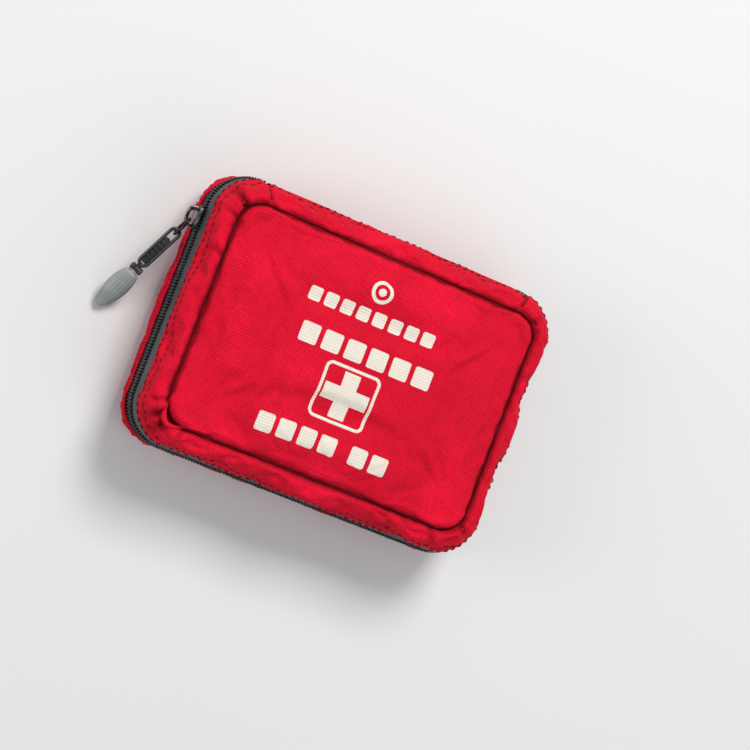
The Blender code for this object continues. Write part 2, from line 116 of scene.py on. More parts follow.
class Net:
    """A material and a short way to add nodes to it."""

    def __init__(self, name, roughness=0.5, metallic=0.0, **sockets):
        self.material = bpy.data.materials.new(name)
        self.material.use_nodes = True
        self.tree = self.material.node_tree
        self.shader = self.tree.nodes["Principled BSDF"]
        self.set("Roughness", roughness)
        self.set("Metallic", metallic)
        for socket, value in sockets.items():
            self.set(socket.replace("_", " "), value)

    def set(self, socket, value):
        """Put a plain value on the shader, or wire a node's output to it."""
        self.wire(value, self.shader.inputs[socket])

    def wire(self, value, socket):
        """Link a value, or set a number, vector or colour, on a socket."""
        if isinstance(value, Value):
            self.tree.links.new(value.socket, socket)
        elif hasattr(value, "__len__") and len(value) == 3 and socket.type == "RGBA":
            socket.default_value = (*value, 1.0)
        else:
            socket.default_value = value

    def add(self, kind, *inputs, output=0, named=None, **settings):
        """Add a node, set and wire it, and give one of its outputs."""
        node = self.tree.nodes.new(kind)
        for key, value in settings.items():
            setattr(node, key, value)
        for index, value in [*enumerate(inputs), *(named or {}).items()]:
            if value is not None:
                self.wire(value, node.inputs[index])
        return Value(self, node.outputs[output])

    def math(self, operation, a, b=0.0):
        return self.add("ShaderNodeMath", a, b, operation=operation)

    def scaled(self, vector, x, y, z):
        return self.add("ShaderNodeVectorMath", vector, (x, y, z), operation="MULTIPLY")

    def split(self, vector):
        node = self.add("ShaderNodeSeparateXYZ", vector).socket.node
        return [Value(self, part) for part in node.outputs]

    def mix(self, factor, a, b):
        return self.add("ShaderNodeMix", output=2, named={"Factor": factor, 6: a, 7: b}, data_type="RGBA")

    def ramp(self, value, low, high, out_low=0.0, out_high=1.0):
        """Smooth step of a value from low to high."""
        steps = (low, high, out_low, out_high)
        return self.add("ShaderNodeMapRange", value, *steps, interpolation_type="SMOOTHSTEP")

    def noise(self, scale, detail=3.0, vector=None):
        place = self.place() if vector is None else vector
        return self.add("ShaderNodeTexNoise", place, named={"Scale": scale, "Detail": detail})

    def bump(self, height, distance, strength=1.0, under=None):
        sockets = {"Height": height, "Distance": distance, "Strength": strength, "Normal": under}
        return self.add("ShaderNodeBump", named=sockets)

    def place(self):
        return self.add("ShaderNodeTexCoord", output="Object")

    def cloth_place(self):
        """Position along the cloth in metres, from the mesh's own map."""
        return self.add("ShaderNodeUVMap", uv_map="cloth")

    def wave(self, value, period):
        """Sine of a length, with the given period, from 0 to 1."""
        return self.math("SINE", value * (math.tau / period)) * 0.5 + 0.5


def ripstop_height(net, place, period=1.12 * MM):
    """Ripstop weave: a square grid of sunk, darker lines over a fine plain weave."""
    u, v, _ = net.split(place)
    lines = []
    for value, weight in ((u, 0.75), (v, 1.0)):
        away = abs(net.math("FRACT", value / period) - 0.5)
        lines.append(net.ramp(away, 0.36, 0.46, 0.0, weight))
    grid = lines[0].most(lines[1])
    fine = net.wave(u, period / 4) * net.wave(v, period / 4)
    return grid, fine * 0.3 - grid * 0.7


RED_DEEP = (0.30, 0.0015, 0.008)
RED_BASE = (0.60, 0.0022, 0.021)
RED_LIFT = (0.74, 0.0050, 0.032)
INK = (0.70, 0.665, 0.57)
# Colour of the painted shade in folds, tucks and seams
RED_PAINTED_SHADE = (0.045, 0.0004, 0.0015)


def ripstop(name, ink=False):
    """Red ripstop nylon, with or without the pale print on the panel's outer side, and with painted shade
    in its folds and seams.
    """
    net = Net(name, roughness=0.8, Specular_IOR_Level=0.11, Sheen_Weight=0.02, Sheen_Roughness=0.5)
    net.set("Sheen Tint", (1.0, 0.3, 0.35))
    place = net.cloth_place()
    grid, height = ripstop_height(net, place)
    tone = net.noise(34.0, 4.0)
    fibre = net.noise(1.0, 2.0, net.scaled(place, 900.0, 900.0, 1.0))
    red = net.mix(net.ramp(tone, 0.35, 0.70), RED_BASE, RED_LIFT)
    red = net.mix(net.ramp(fibre, 0.35, 0.75) * 0.38, red, RED_DEEP)
    faded = net.ramp(net.noise(150.0, 4.0), 0.32, 0.62, 0.04, 0.66)
    red = net.mix(grid * faded, red, RED_DEEP)
    if ink:
        cover = print_mask(net, place)
        worn = net.ramp(fibre, 0.62, 0.80) * 0.35
        cover = cover * (1.0 - (worn + grid * 0.16))
        facing = net.split(net.add("ShaderNodeTexCoord", output="Normal"))[2]
        red = net.mix(cover * net.math("GREATER_THAN", facing, 0.0), red, INK)
    # Painted shade: the crease attribute darkens the colour in folds, tucks and seams
    crease = net.add("ShaderNodeAttribute", output="Fac", attribute_name="crease")
    net.set("Base Color", net.mix(crease * 0.9, red, RED_PAINTED_SHADE))
    net.set("Roughness", net.ramp(tone, 0.3, 0.7, 0.74, 0.86))
    soft = net.bump(net.noise(260.0, 3.0), 0.25 * MM, 0.35)
    net.set("Normal", net.bump(height, 0.14 * MM, 1.0, soft))
    return net.material


# ---------------------------------------------------------------- panel print

# Places and sizes of the print in mm, from the middle of the panel
CROSS_AT = (-1.0, -11.8)
FRAME_HALF = 11.9
FRAME_LINE = 1.25
FRAME_RADIUS = 3.0
ARM_RADIUS = 0.3
ARM_LONG = 9.7
ARM_WIDE = 3.4
BLOCK_RADIUS = 1.0
# Rows of plain blocks that stand where printed words would be:
# centre x, centre y, number of blocks, block width, block height, space between blocks
BLOCK_ROWS = (
    (-13.9, -32.4, 4, 7.0, 7.6, 2.0),
    (17.4, -32.4, 2, 7.0, 7.6, 2.0),
    (1.0, 6.4, 6, 7.8, 8.0, 2.1),
    (-2.0, 21.9, 8, 5.3, 5.6, 1.7),
)
RING_AT = (-1.8, 32.4)
RING_RADIUS = 3.9
RING_LINE = 1.5
DOT_RADIUS = 1.6


def rounded_box(x, y, centre, half, radius):
    """Distance in mm to a rounded box on a face, below zero inside it."""
    gaps = []
    for value, middle, reach in zip((x, y), centre, half):
        gaps.append(abs(value - middle) - (reach - radius))
    outside = [gap.most(0.0) for gap in gaps]
    squares = [gap * gap for gap in outside]
    corner = x.net.math("SQRT", squares[0] + squares[1])
    inside = gaps[0].most(gaps[1]).least(0.0)
    return corner + inside - radius


def print_mask(net, place):
    """Where the panel carries ink: a framed cross, plain rows of blocks and a ring with a dot."""
    u, v, _ = net.split(place)
    x = u * 1000.0
    y = v * 1000.0
    outer = rounded_box(x, y, CROSS_AT, (FRAME_HALF, FRAME_HALF), FRAME_RADIUS)
    shapes = [abs(outer + FRAME_LINE / 2) - FRAME_LINE / 2]
    for half in ((ARM_WIDE, ARM_LONG), (ARM_LONG, ARM_WIDE)):
        shapes.append(rounded_box(x, y, CROSS_AT, half, ARM_RADIUS))
    for centre_x, centre_y, count, width, height, space in BLOCK_ROWS:
        pitch = width + space
        first = centre_x - pitch * (count - 1) / 2
        index = net.math("ROUND", (x - first) / pitch).most(0.0).least(count - 1.0)
        local = x - (index * pitch + first)
        shapes.append(rounded_box(local, y, (0.0, centre_y), (width / 2, height / 2), BLOCK_RADIUS))
    dx = x - RING_AT[0]
    dy = y - RING_AT[1]
    away = net.math("SQRT", dx * dx + dy * dy)
    shapes.append(abs(away - RING_RADIUS) - RING_LINE / 2)
    shapes.append(away - DOT_RADIUS)
    nearest = shapes[0]
    for shape in shapes[1:]:
        nearest = nearest.least(shape)
    rough = (net.noise(2600.0, 2.0, place) - 0.5) * 0.35
    return net.ramp(nearest + rough, 0.10, -0.10)


# ---------------------------------------------------------------- other materials

def zip_tape_material():
    """Dark grey coated tape with a faint herringbone under the coating."""
    net = Net("zip_tape", roughness=0.5, Specular_IOR_Level=0.3)
    u, v, _ = net.split(net.cloth_place())
    rib = net.wave(u + v * 0.5, 0.8 * MM)
    tone = net.noise(60.0, 4.0)
    net.set("Base Color", net.mix(net.ramp(tone, 0.3, 0.7), (0.036, 0.040, 0.042), (0.066, 0.071, 0.073)))
    net.set("Roughness", net.ramp(tone, 0.3, 0.75, 0.44, 0.60))
    net.set("Normal", net.bump(rib, 0.06 * MM, 0.5))
    return net.material


def coil_material():
    """Black nylon monofilament, a little paler where it is rubbed."""
    net = Net("zip_coil", roughness=0.34, Specular_IOR_Level=0.55)
    rub = net.noise(120.0, 3.0)
    net.set("Base Color", net.mix(net.ramp(rub, 0.5, 0.75), (0.013, 0.013, 0.014), (0.075, 0.077, 0.079)))
    net.set("Normal", net.bump(net.noise(2400.0, 2.0), 0.04 * MM, 0.4))
    return net.material


def thread_material(name, colour, pale):
    """Twisted sewing thread."""
    net = Net(name, roughness=0.75, Specular_IOR_Level=0.15)
    x, y, z = net.split(net.place())
    twist = net.wave(x + y + z, 0.28 * MM)
    net.set("Base Color", net.mix(twist, colour, pale))
    net.set("Normal", net.bump(twist, 0.05 * MM, 0.7))
    return net.material


def metal_material(name, dark, pale, roughness, metallic=1.0):
    """Cast or drawn metal with soft wear on it."""
    net = Net(name, roughness=roughness, metallic=metallic)
    wear = net.noise(420.0, 4.0)
    net.set("Base Color", net.mix(net.ramp(wear, 0.42, 0.7), dark, pale))
    net.set("Roughness", net.ramp(wear, 0.3, 0.75, roughness * 0.8, roughness * 1.35))
    net.set("Normal", net.bump(net.noise(1500.0, 2.0), 0.03 * MM, 0.35))
    return net.material


def brushed_material():
    """Brushed stainless steel, brushed along X."""
    net = Net("blade_steel", roughness=0.28, metallic=1.0)
    streak = net.noise(1.0, 3.0, net.scaled(net.place(), 120.0, 5200.0, 5200.0))
    net.set("Base Color", net.mix(streak, (0.24, 0.245, 0.25), (0.42, 0.43, 0.44)))
    net.set("Roughness", net.ramp(streak, 0.3, 0.7, 0.20, 0.38))
    net.set("Normal", net.bump(streak, 0.02 * MM, 0.5))
    return net.material


def plastic_material(name, dark, pale, roughness, grain=900.0):
    """Moulded plastic with a fine grain."""
    net = Net(name, roughness=roughness, Specular_IOR_Level=0.5)
    tone = net.noise(90.0, 3.0)
    net.set("Base Color", net.mix(net.ramp(tone, 0.3, 0.7), dark, pale))
    net.set("Roughness", net.ramp(tone, 0.3, 0.7, roughness * 0.85, roughness * 1.2))
    net.set("Normal", net.bump(net.noise(grain, 2.0), 0.05 * MM, 0.35))
    return net.material


def elastic_material():
    """Black woven elastic with ribs along its length."""
    net = Net("elastic", roughness=0.8, Specular_IOR_Level=0.2, Sheen_Weight=0.03)
    u, v, _ = net.split(net.cloth_place())
    rib = net.wave(v, 1.1 * MM)
    weft = net.wave(u, 0.5 * MM)
    height = rib + weft * 0.35
    net.set("Base Color", net.mix(rib, (0.010, 0.010, 0.011), (0.040, 0.040, 0.043)))
    net.set("Normal", net.bump(height, 0.16 * MM, 0.8))
    return net.material


def cotton_material(name, deep, pale, period):
    """Open bandage weave; crepe is wavier than plain gauze."""
    net = Net(name, roughness=0.85, Specular_IOR_Level=0.2, Sheen_Weight=0.05)
    x, y, z = net.split(net.place())
    fuzz = net.noise(900.0, 3.0)
    shift = net.noise(220.0, 2.0) * (period * 1.2)
    warp = net.wave(y + shift, period)
    weft = net.wave(x + z + shift, period * 0.8)
    height = warp + weft * 0.6
    colour = net.mix(height * 0.6, deep, pale)
    net.set("Base Color", net.mix(fuzz * 0.25, colour, deep))
    net.set("Normal", net.bump(height, 0.16 * MM, 0.8))
    return net.material


def packet_material(name, base, band, band_width, gloss):
    """Packet paper or film with one plain printed band and a crimped rim."""
    net = Net(name, roughness=gloss, Specular_IOR_Level=0.5)
    u, v, _ = net.split(net.cloth_place())
    edge = abs(v)
    stripe = net.ramp(abs(u + 0.30), band_width, band_width - 0.012)
    tone = net.noise(150.0, 4.0)
    colour = net.mix(stripe, base, band)
    net.set("Base Color", net.mix(tone * 0.18, colour, tuple(c * 0.6 for c in base)))
    crimp = net.wave(v, 0.045) * net.ramp(edge, 0.86, 0.90)
    crease = net.noise(130.0, 4.0)
    sharp = abs(net.noise(65.0, 3.0) - 0.5)
    crease = crease + net.ramp(sharp, 0.06, 0.0) * 0.5
    net.set("Normal", net.bump(crease + crimp, 0.6 * MM, 0.6))
    return net.material


def plaster_material():
    """Plaster wrapper: pale paper with the tan strip and its pad showing through."""
    net = Net("plaster_paper", roughness=0.5, Specular_IOR_Level=0.3)
    _, _, middle, _ = box_of("plaster_stack")
    x, y, _ = net.split(net.place())
    x = (x - middle[0]) * 1000.0
    y = (y - middle[1]) * 1000.0
    strip = rounded_box(x, y, (0.0, 0.0), (21.5, 6.2), 5.6)
    pad = rounded_box(x, y, (0.0, 0.0), (7.0, 5.0), 0.8)
    seal = net.ramp(abs(x), 23.0, 23.4)
    grain = net.noise(900.0, 3.0)
    holes = net.wave(x * 0.001, 1.6 * MM) * net.wave(y * 0.001, 1.6 * MM)
    tan = net.mix(net.ramp(holes, 0.80, 0.92), (0.52, 0.34, 0.22), (0.34, 0.20, 0.12))
    colour = net.mix(net.ramp(strip, 0.35, -0.35), (0.62, 0.60, 0.55), tan)
    colour = net.mix(net.ramp(pad, 0.25, -0.25), colour, (0.56, 0.45, 0.34))
    net.set("Base Color", net.mix(grain * 0.25, colour, (0.50, 0.47, 0.42)))
    crimp = net.wave(x * 0.001, 0.7 * MM) * seal
    raised = net.ramp(strip, 0.4, -0.4) + crimp * 0.5
    net.set("Normal", net.bump(raised + grain * 0.4, 0.25 * MM, 0.6))
    return net.material


NET_PERIOD = 1.9 * MM


def net_material():
    """Black knitted net: holes cut out by the shader's alpha."""
    net = Net("net", roughness=0.7)
    u, v, _ = net.split(net.cloth_place())
    threads = []
    for value in (u + v, u - v):
        threads.append(abs(net.math("FRACT", value / NET_PERIOD) - 0.5))
    net.set("Base Color", (0.014, 0.014, 0.015))
    net.set("Alpha", net.ramp(threads[0].most(threads[1]), 0.26, 0.30))
    return net.material


# ---------------------------------------------------------------- mesh helpers

def lengths(points):
    """Running length along a row of points, from zero."""
    steps = np.linalg.norm(np.diff(points, axis=0), axis=1)
    return np.concatenate([[0.0], np.cumsum(steps)])


def at_run(place, run, track):
    """Points at places along a track whose running length is known."""
    return np.stack([np.interp(place, run, column) for column in np.transpose(track)], axis=-1)


def in_mm(points):
    """Points given in millimetres, in metres."""
    return np.array(points, float) * MM


def mirrored(half):
    """One side of an outline, then the same points back again on the other side of its axis."""
    return list(half) + [(a, -b) for a, b in reversed(half)]


def squared(value, power):
    """A sine or cosine drawn out so that a round section turns boxy."""
    return math.copysign(abs(value) ** power, value)


def box_of(node):
    """A CAD node's lower and upper corners, its centre and half its size."""
    low, high = (np.array(corner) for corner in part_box(node))
    return low, high, (low + high) / 2, (high - low) / 2


def placed(name, data):
    """A new object in the scene."""
    made = bpy.data.objects.new(name, data)
    bpy.context.scene.collection.objects.link(made)
    return made


def face_mesh(name, points, faces, material):
    """A smooth mesh of one material."""
    mesh = bpy.data.meshes.new(name)
    mesh.from_pydata(np.asarray(points).tolist(), [], faces)
    mesh.materials.append(material)
    mesh.shade_smooth()
    return mesh


def sheet_mesh(name, points, material, wrap=False, wrap_rows=False, flip=False, cloth_map=None):
    """A grid of points (rows, columns, xyz) as quads, with its cloth map in metres."""
    rows, cols = points.shape[:2]
    if cloth_map is None:
        middle = points[rows // 2]
        along = lengths(np.vstack([middle, middle[:1]]))
        across = lengths(np.vstack([points[:, cols // 3], points[:1, cols // 3]]))
    faces = []
    corners = []
    for row in range(rows if wrap_rows else rows - 1):
        for col in range(cols if wrap else cols - 1):
            ring = [(row, col), (row, col + 1), (row + 1, col + 1), (row + 1, col)]
            if flip:
                ring.reverse()
            faces.append([(r % rows) * cols + c % cols for r, c in ring])
            corners.extend(ring)
    mesh = face_mesh(name, points.reshape(-1, 3), faces, material)
    layer = mesh.uv_layers.new(name="cloth")
    if cloth_map is None:
        flat = [(along[c], across[r]) for r, c in corners]
    else:
        flat = [tuple(cloth_map[r % rows, c % cols]) for r, c in corners]
    layer.data.foreach_set("uv", np.array(flat, np.float32).ravel())
    return placed(name, mesh)


def read_points(thing, kind="co"):
    """A mesh object's own vertices, or their normals, as an array."""
    flat = np.zeros(len(thing.data.vertices) * 3, np.float32)
    thing.data.vertices.foreach_get(kind, flat)
    return flat.reshape(-1, 3).astype(float)


def write_points(thing, points):
    """Put an array back as a mesh object's vertices."""
    thing.data.vertices.foreach_set("co", points.astype(np.float32).ravel())
    thing.data.update()


def paint_crease_shade(thing, crease):
    """Store how far each point of a cloth lies in a fold or seam, as painted shade that darkens its colour
    there.
    """
    layer = thing.data.attributes.new("crease", "FLOAT", "POINT")
    layer.data.foreach_set("value", np.clip(crease, 0.0, 1.0).astype(np.float32).ravel())


def thicken(thing, thickness, levels=1, offset=-1.0):
    """Give a cloth sheet its thickness and one smoothing level."""
    solid = thing.modifiers.new("thickness", "SOLIDIFY")
    solid.thickness = thickness
    solid.offset = offset
    if levels:
        smooth = thing.modifiers.new("smooth", "SUBSURF")
        smooth.levels = levels
        smooth.render_levels = levels
    return thing


def finish_piece(thing, body, slot, *nodes):
    """Hang a piece on the body that it rides on and hide the CAD nodes that it stands for; the slot
    argument, its finish, is not used.
    """
    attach(thing, body)
    if nodes:
        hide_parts(*nodes)
    return thing


def outline(half_x, half_y, radius):
    """Rounded rectangle, counter-clockwise from the right side's lower end.

    Gives points, outward normals and how far into a corner each point is, 0 to 1.
    """
    points = []
    normals = []
    corners = []
    inner_x = half_x - radius
    inner_y = half_y - radius
    for quarter in range(4):
        angle = math.radians(90.0 * quarter)
        turn = np.array([[math.cos(angle), -math.sin(angle)], [math.sin(angle), math.cos(angle)]])
        count, reach, depth = (SIDE_Y, inner_y, half_x) if quarter % 2 == 0 else (SIDE_X, inner_x, half_y)
        for step in range(count):
            points.append(turn @ (depth, -reach + 2.0 * reach * step / count))
            normals.append(turn @ (1.0, 0.0))
            corners.append(0.0)
        for step in range(CORNER):
            swing = math.radians(90.0 * step / CORNER)
            facing = np.array([math.cos(swing), math.sin(swing)])
            points.append(turn @ (np.array([depth - radius, reach]) + radius * facing))
            normals.append(turn @ facing)
            corners.append(math.sin(math.pi * step / CORNER))
    return np.array(points), np.array(normals), np.array(corners)


def case_ring(share, inset=0.0):
    """The case's outline, from the panel seam (share 0) to the zip rim (share 1)."""
    half_x = PANEL_X + (RIM_X - PANEL_X) * share - inset
    half_y = PANEL_Y + (RIM_Y - PANEL_Y) * share - inset
    radius = PANEL_RADIUS + (RIM_RADIUS - PANEL_RADIUS) * share - inset
    return outline(half_x, half_y, radius)


def lifted(flat, z):
    """Flat points at one height, or each at its own."""
    return np.column_stack([flat, np.broadcast_to(z, len(flat))])


def simulate(cloth_piece, sewn, pressure, spare, bending, cap, frames=16):
    """Blow sewn cloth up from inside with some spare cloth in it, and keep the result."""
    scene = bpy.context.scene
    rest = read_points(cloth_piece)
    group = cloth_piece.vertex_groups.new(name="sewn")
    group.add([int(i) for i in sewn], 1.0, "REPLACE")
    cloth = cloth_piece.modifiers.new("cloth", "CLOTH")
    chosen = {
        "vertex_group_mass": "sewn",
        "quality": 5,
        "mass": 0.15,
        "tension_stiffness": 15.0,
        "compression_stiffness": 15.0,
        "shear_stiffness": 5.0,
        "bending_stiffness": bending,
        "use_pressure": True,
        "uniform_pressure_force": pressure,
        "shrink_min": -spare,
    }
    for setting, value in chosen.items():
        setattr(cloth.settings, setting, value)
    cloth.settings.effector_weights.gravity = 0.0
    cloth.collision_settings.use_collision = False
    cloth.point_cache.frame_start = 1
    cloth.point_cache.frame_end = frames
    for number in range(1, frames + 1):
        scene.frame_set(number)
    blown = cloth_piece.evaluated_get(bpy.context.evaluated_depsgraph_get())
    moved = read_points(blown) - rest
    cloth_piece.modifiers.remove(cloth)
    cloth_piece.vertex_groups.remove(group)
    scene.frame_set(1)
    far = np.linalg.norm(moved, axis=1, keepdims=True)
    moved *= np.minimum(1.0, cap / np.maximum(far, 1e-9))
    write_points(cloth_piece, rest + moved)
    print("cloth", cloth_piece.name, "moved up to", round(float(far.max()) / MM, 2), "mm")


def noise_at(points, scale, seed=0.0):
    """Smooth noise from -1 to 1 at each point."""
    return np.array([noise.noise(Vector(p) * scale + Vector((seed, seed * 0.7, -seed))) for p in points])


def noise_row(*axes):
    """Smooth noise from -1 to 1 at points whose coordinates come one axis at a time."""
    return np.array([noise.noise(Vector(p)) for p in np.broadcast(*axes)])


# ---------------------------------------------------------------- case cloth

WALL_LEVELS = 19
RIM_SHARE = {"front_gusset": 0.87, "back_gusset": 0.98}
RIM_LIFT = 1.4 * MM
BACK_BULGE = 2.4 * MM
STITCH_LEVELS = (12, 16)
STITCH_RADIUS = {"front": 0.32 * MM, "back": 0.12 * MM}
CLOTH_THICK = 0.45 * MM
WALL_ROUGH = {"front_gusset": 0.78, "back_gusset": 0.25}
FLOOR_GAP = 0.15 * MM
TAPE_THICK = 0.35 * MM
SPINE_THICK = 0.4 * MM
# Unevenness of the walls: how deep each kind is, and how closely it repeats along the cloth
GATHER = 0.50 * MM
GATHER_PACE = 210.0
FOLD = 1.20 * MM
FOLD_PACE = 95.0
NIP = 0.30 * MM
NIP_PACE = 330.0
DENT = 0.38 * MM
DENT_PACE = 42.0
STITCH_SINK = 0.42 * MM


def wall_points(seam_z, rim_z, fold, rim_share):
    """Sloping wall of one tray, from its panel seam to its zip rim."""
    rows = []
    up = math.copysign(1.0, seam_z - rim_z)
    for level in range(WALL_LEVELS):
        share = level / (WALL_LEVELS - 1)
        angle = math.radians(90.0 * share)
        flat, normals, corners = case_ring(math.sin(angle) * rim_share)
        z = seam_z + (rim_z - seam_z) * (1.0 - math.cos(angle))
        swell = math.exp(-(((share - 0.22) / 0.16) ** 2))
        full = 0.0 if fold else BACK_BULGE * math.exp(-(((share - 0.74) / 0.16) ** 2))
        flat = flat + normals * (0.5 * MM * swell + full)
        sunk = 2.4 * MM * math.exp(-share / 0.06) * (fold > 0)
        rows.append(lifted(flat, z + up * (fold * (0.35 + corners) * swell - sunk)))
    return np.array(rows)


def pucker(rows, normals, corners, seed, rough):
    """Small gathers across the seam, deeper folds at the corners, soft dents between."""
    levels = len(rows)
    run = lengths(rows[levels // 2])
    for level in range(levels):
        share = level / (levels - 1)
        near_seam = math.exp(-share / 0.30)
        middle = math.sin(math.pi * share) ** 0.8
        calm = rough * min(1.0, max(0.0, (0.97 - share) / 0.25))
        gather = noise_row(run * GATHER_PACE, share * 1.4, seed)
        fold = noise_row(run * FOLD_PACE, share * 0.8, seed + 9.0)
        nip = NIP * noise_row(run * NIP_PACE, share * 3.0, seed + 4.0)
        dent = noise_at(rows[level], DENT_PACE, seed)
        sewn = sum(math.exp(-(((level - row) / 0.8) ** 2)) for row in STITCH_LEVELS)
        depth = GATHER * gather * near_seam * (0.55 + 1.5 * corners)
        depth += FOLD * fold * middle * (0.12 + corners)
        depth += (DENT * dent + nip) * middle - (STITCH_SINK + nip) * sewn
        rows[level] += normals[level] * (depth * calm)[:, None]
    rows[..., 2] = np.maximum(rows[..., 2], FLOOR_GAP)
    return rows


def corner_fold(rows, normals, crease_shade, run_at, width, depth, reach):
    """One deep tuck across the wall, where the seam turns a corner, with painted shade in its fold; width
    and depth are in mm.
    """
    levels = len(rows)
    run = lengths(rows[levels // 2])
    total = run[-1]
    away = np.abs(((run - run_at * total) + total / 2) % total - total / 2) / MM
    cut = np.exp(-((away / width) ** 2))
    lip = np.exp(-(((away - 2.2 * width) / (1.3 * width)) ** 2))
    for level in range(levels):
        share = level / (levels - 1)
        fade = math.exp(-((share / reach) ** 2)) * min(1.0, share / 0.10, (1.0 - share) / 0.25)
        rows[level] += normals[level] * ((0.45 * lip - cut) * depth * MM * fade)[:, None]
        # Painted shade in the tuck's fold
        crease_shade[level] += 0.34 * depth * cut * fade
    return rows


CROSS_COLUMNS = {"right": SIDE_Y + CORNER, "left": SIDE_Y + CORNER + SIDE_X}
CROSS_FROM = 3
# Depth in mm of the cloth beside a cross seam, by columns away from it
CROSS_DEPTHS = ((-2, -0.3), (-1, -0.2), (0, 1.2), (1, -0.5), (2, -0.35), (3, -0.15))


def cross_seams(rows, normals, crease_shade):
    """The two short seams across the wall, where the zip strip meets the spine's cloth, with painted shade
    along them.
    """
    share = np.clip(np.arange(len(rows)) / 3.0, 0.0, 1.0)
    for column in CROSS_COLUMNS.values():
        for beside, depth in CROSS_DEPTHS:
            rows[:, column + beside] -= normals[:, column + beside] * (depth * MM * share)[:, None]
        # Painted shade along the cross seam
        crease_shade[CROSS_FROM:, column] = 0.9
    return rows


# Tucks of each wall: place round the outline 0 to 1, width and depth in mm, reach across the wall
FRONT_TUCKS = (
    (0.130, 1.2, 0.9, 0.35),
    (0.186, 1.3, 1.7, 0.45),
    (0.482, 1.4, 2.8, 0.60),
    (0.500, 1.0, 1.4, 0.45),
    (0.535, 1.2, 1.5, 0.40),
    (0.668, 1.0, 1.4, 0.45),
    (0.681, 1.3, 2.6, 0.60),
    (0.690, 4.0, 2.8, 0.36),
    (0.694, 1.1, 2.0, 0.55),
    (0.712, 1.0, 1.2, 0.35),
    (0.925, 1.1, 1.0, 0.40),
    (0.950, 1.4, 1.5, 0.45),
    (0.985, 1.3, 1.6, 0.50),
)


def make_wall(name, body, node, seam_z, rim_z, material, seed, fold):
    """One tray's wall as blown, gathered cloth; returns its levels for the stitching."""
    base = wall_points(seam_z, rim_z, fold, RIM_SHARE[node])
    piece = sheet_mesh(name, base, material, wrap=True, flip=seam_z > rim_z)
    levels, count = base.shape[:2]
    sewn = list(range(count)) + list(range((levels - 1) * count, levels * count))
    simulate(piece, sewn, pressure=2.0, spare=0.05, bending=0.35, cap=2.0 * MM)
    rows = read_points(piece).reshape(levels, count, 3)
    normals = read_points(piece, "normal").reshape(levels, count, 3)
    corners = case_ring(1.0)[2]
    wide = np.convolve(np.tile(corners, 3), np.ones(21) / 21, "same")[count : 2 * count]
    rows = pucker(rows, normals, np.maximum(corners, wide), seed, WALL_ROUGH[node])
    # Painted shade: strong along the panel seam, faint in the stitch rows' dimples; the tucks and cross
    # seams add more
    crease_shade = np.zeros((levels, count))
    crease_shade[:2] = np.array([[1.0], [0.38]])
    crease_shade[list(STITCH_LEVELS)] = 0.12
    for tuck in FRONT_TUCKS:
        rows = corner_fold(rows, normals, crease_shade, *tuck)
    rows = cross_seams(rows, normals, crease_shade)
    rows[..., 2] = np.maximum(rows[..., 2], FLOOR_GAP)
    write_points(piece, rows.reshape(-1, 3))
    paint_crease_shade(piece, crease_shade)
    normals = read_points(piece, "normal").reshape(levels, count, 3)
    thicken(piece, CLOTH_THICK)
    finish_piece(piece, body, "red_ripstop", node)
    return rows, normals


def panel_grid(columns, rows):
    """Grid over the panel's outline, finer at its edge, its corner squares made quarter discs."""
    u, v = (np.linspace(-1.0, 1.0, count) for count in (columns, rows))
    u, v = (0.45 * t + 0.55 * np.sin(t * math.pi / 2) for t in (u, v))
    u, v = np.meshgrid(u, v)
    half_x = PANEL_X + 0.4 * MM
    half_y = PANEL_Y + 0.4 * MM
    x = np.abs(u) * half_x
    y = np.abs(v) * half_y
    a = np.clip((x - (half_x - PANEL_RADIUS)) / PANEL_RADIUS, 0.0, 1.0)
    b = np.clip((y - (half_y - PANEL_RADIUS)) / PANEL_RADIUS, 0.0, 1.0)
    x = np.where(a > 0, half_x - PANEL_RADIUS + PANEL_RADIUS * a * np.sqrt(1 - b * b / 2), x)
    y = np.where(b > 0, half_y - PANEL_RADIUS + PANEL_RADIUS * b * np.sqrt(1 - a * a / 2), y)
    return np.sign(u) * x, np.sign(v) * y, u, v


# The front panel's edge: where it is sewn, how far in and how high it rolls, where its crown ends
EDGE_Z = SEAM_Z - 2.4 * MM
SHOULDER = 3.2 * MM
ROLL = 3.9 * MM
CROWN_REACH = 34.0 * MM
FRONT_GRID = (120, 84)
BACK_GRID = (90, 64)


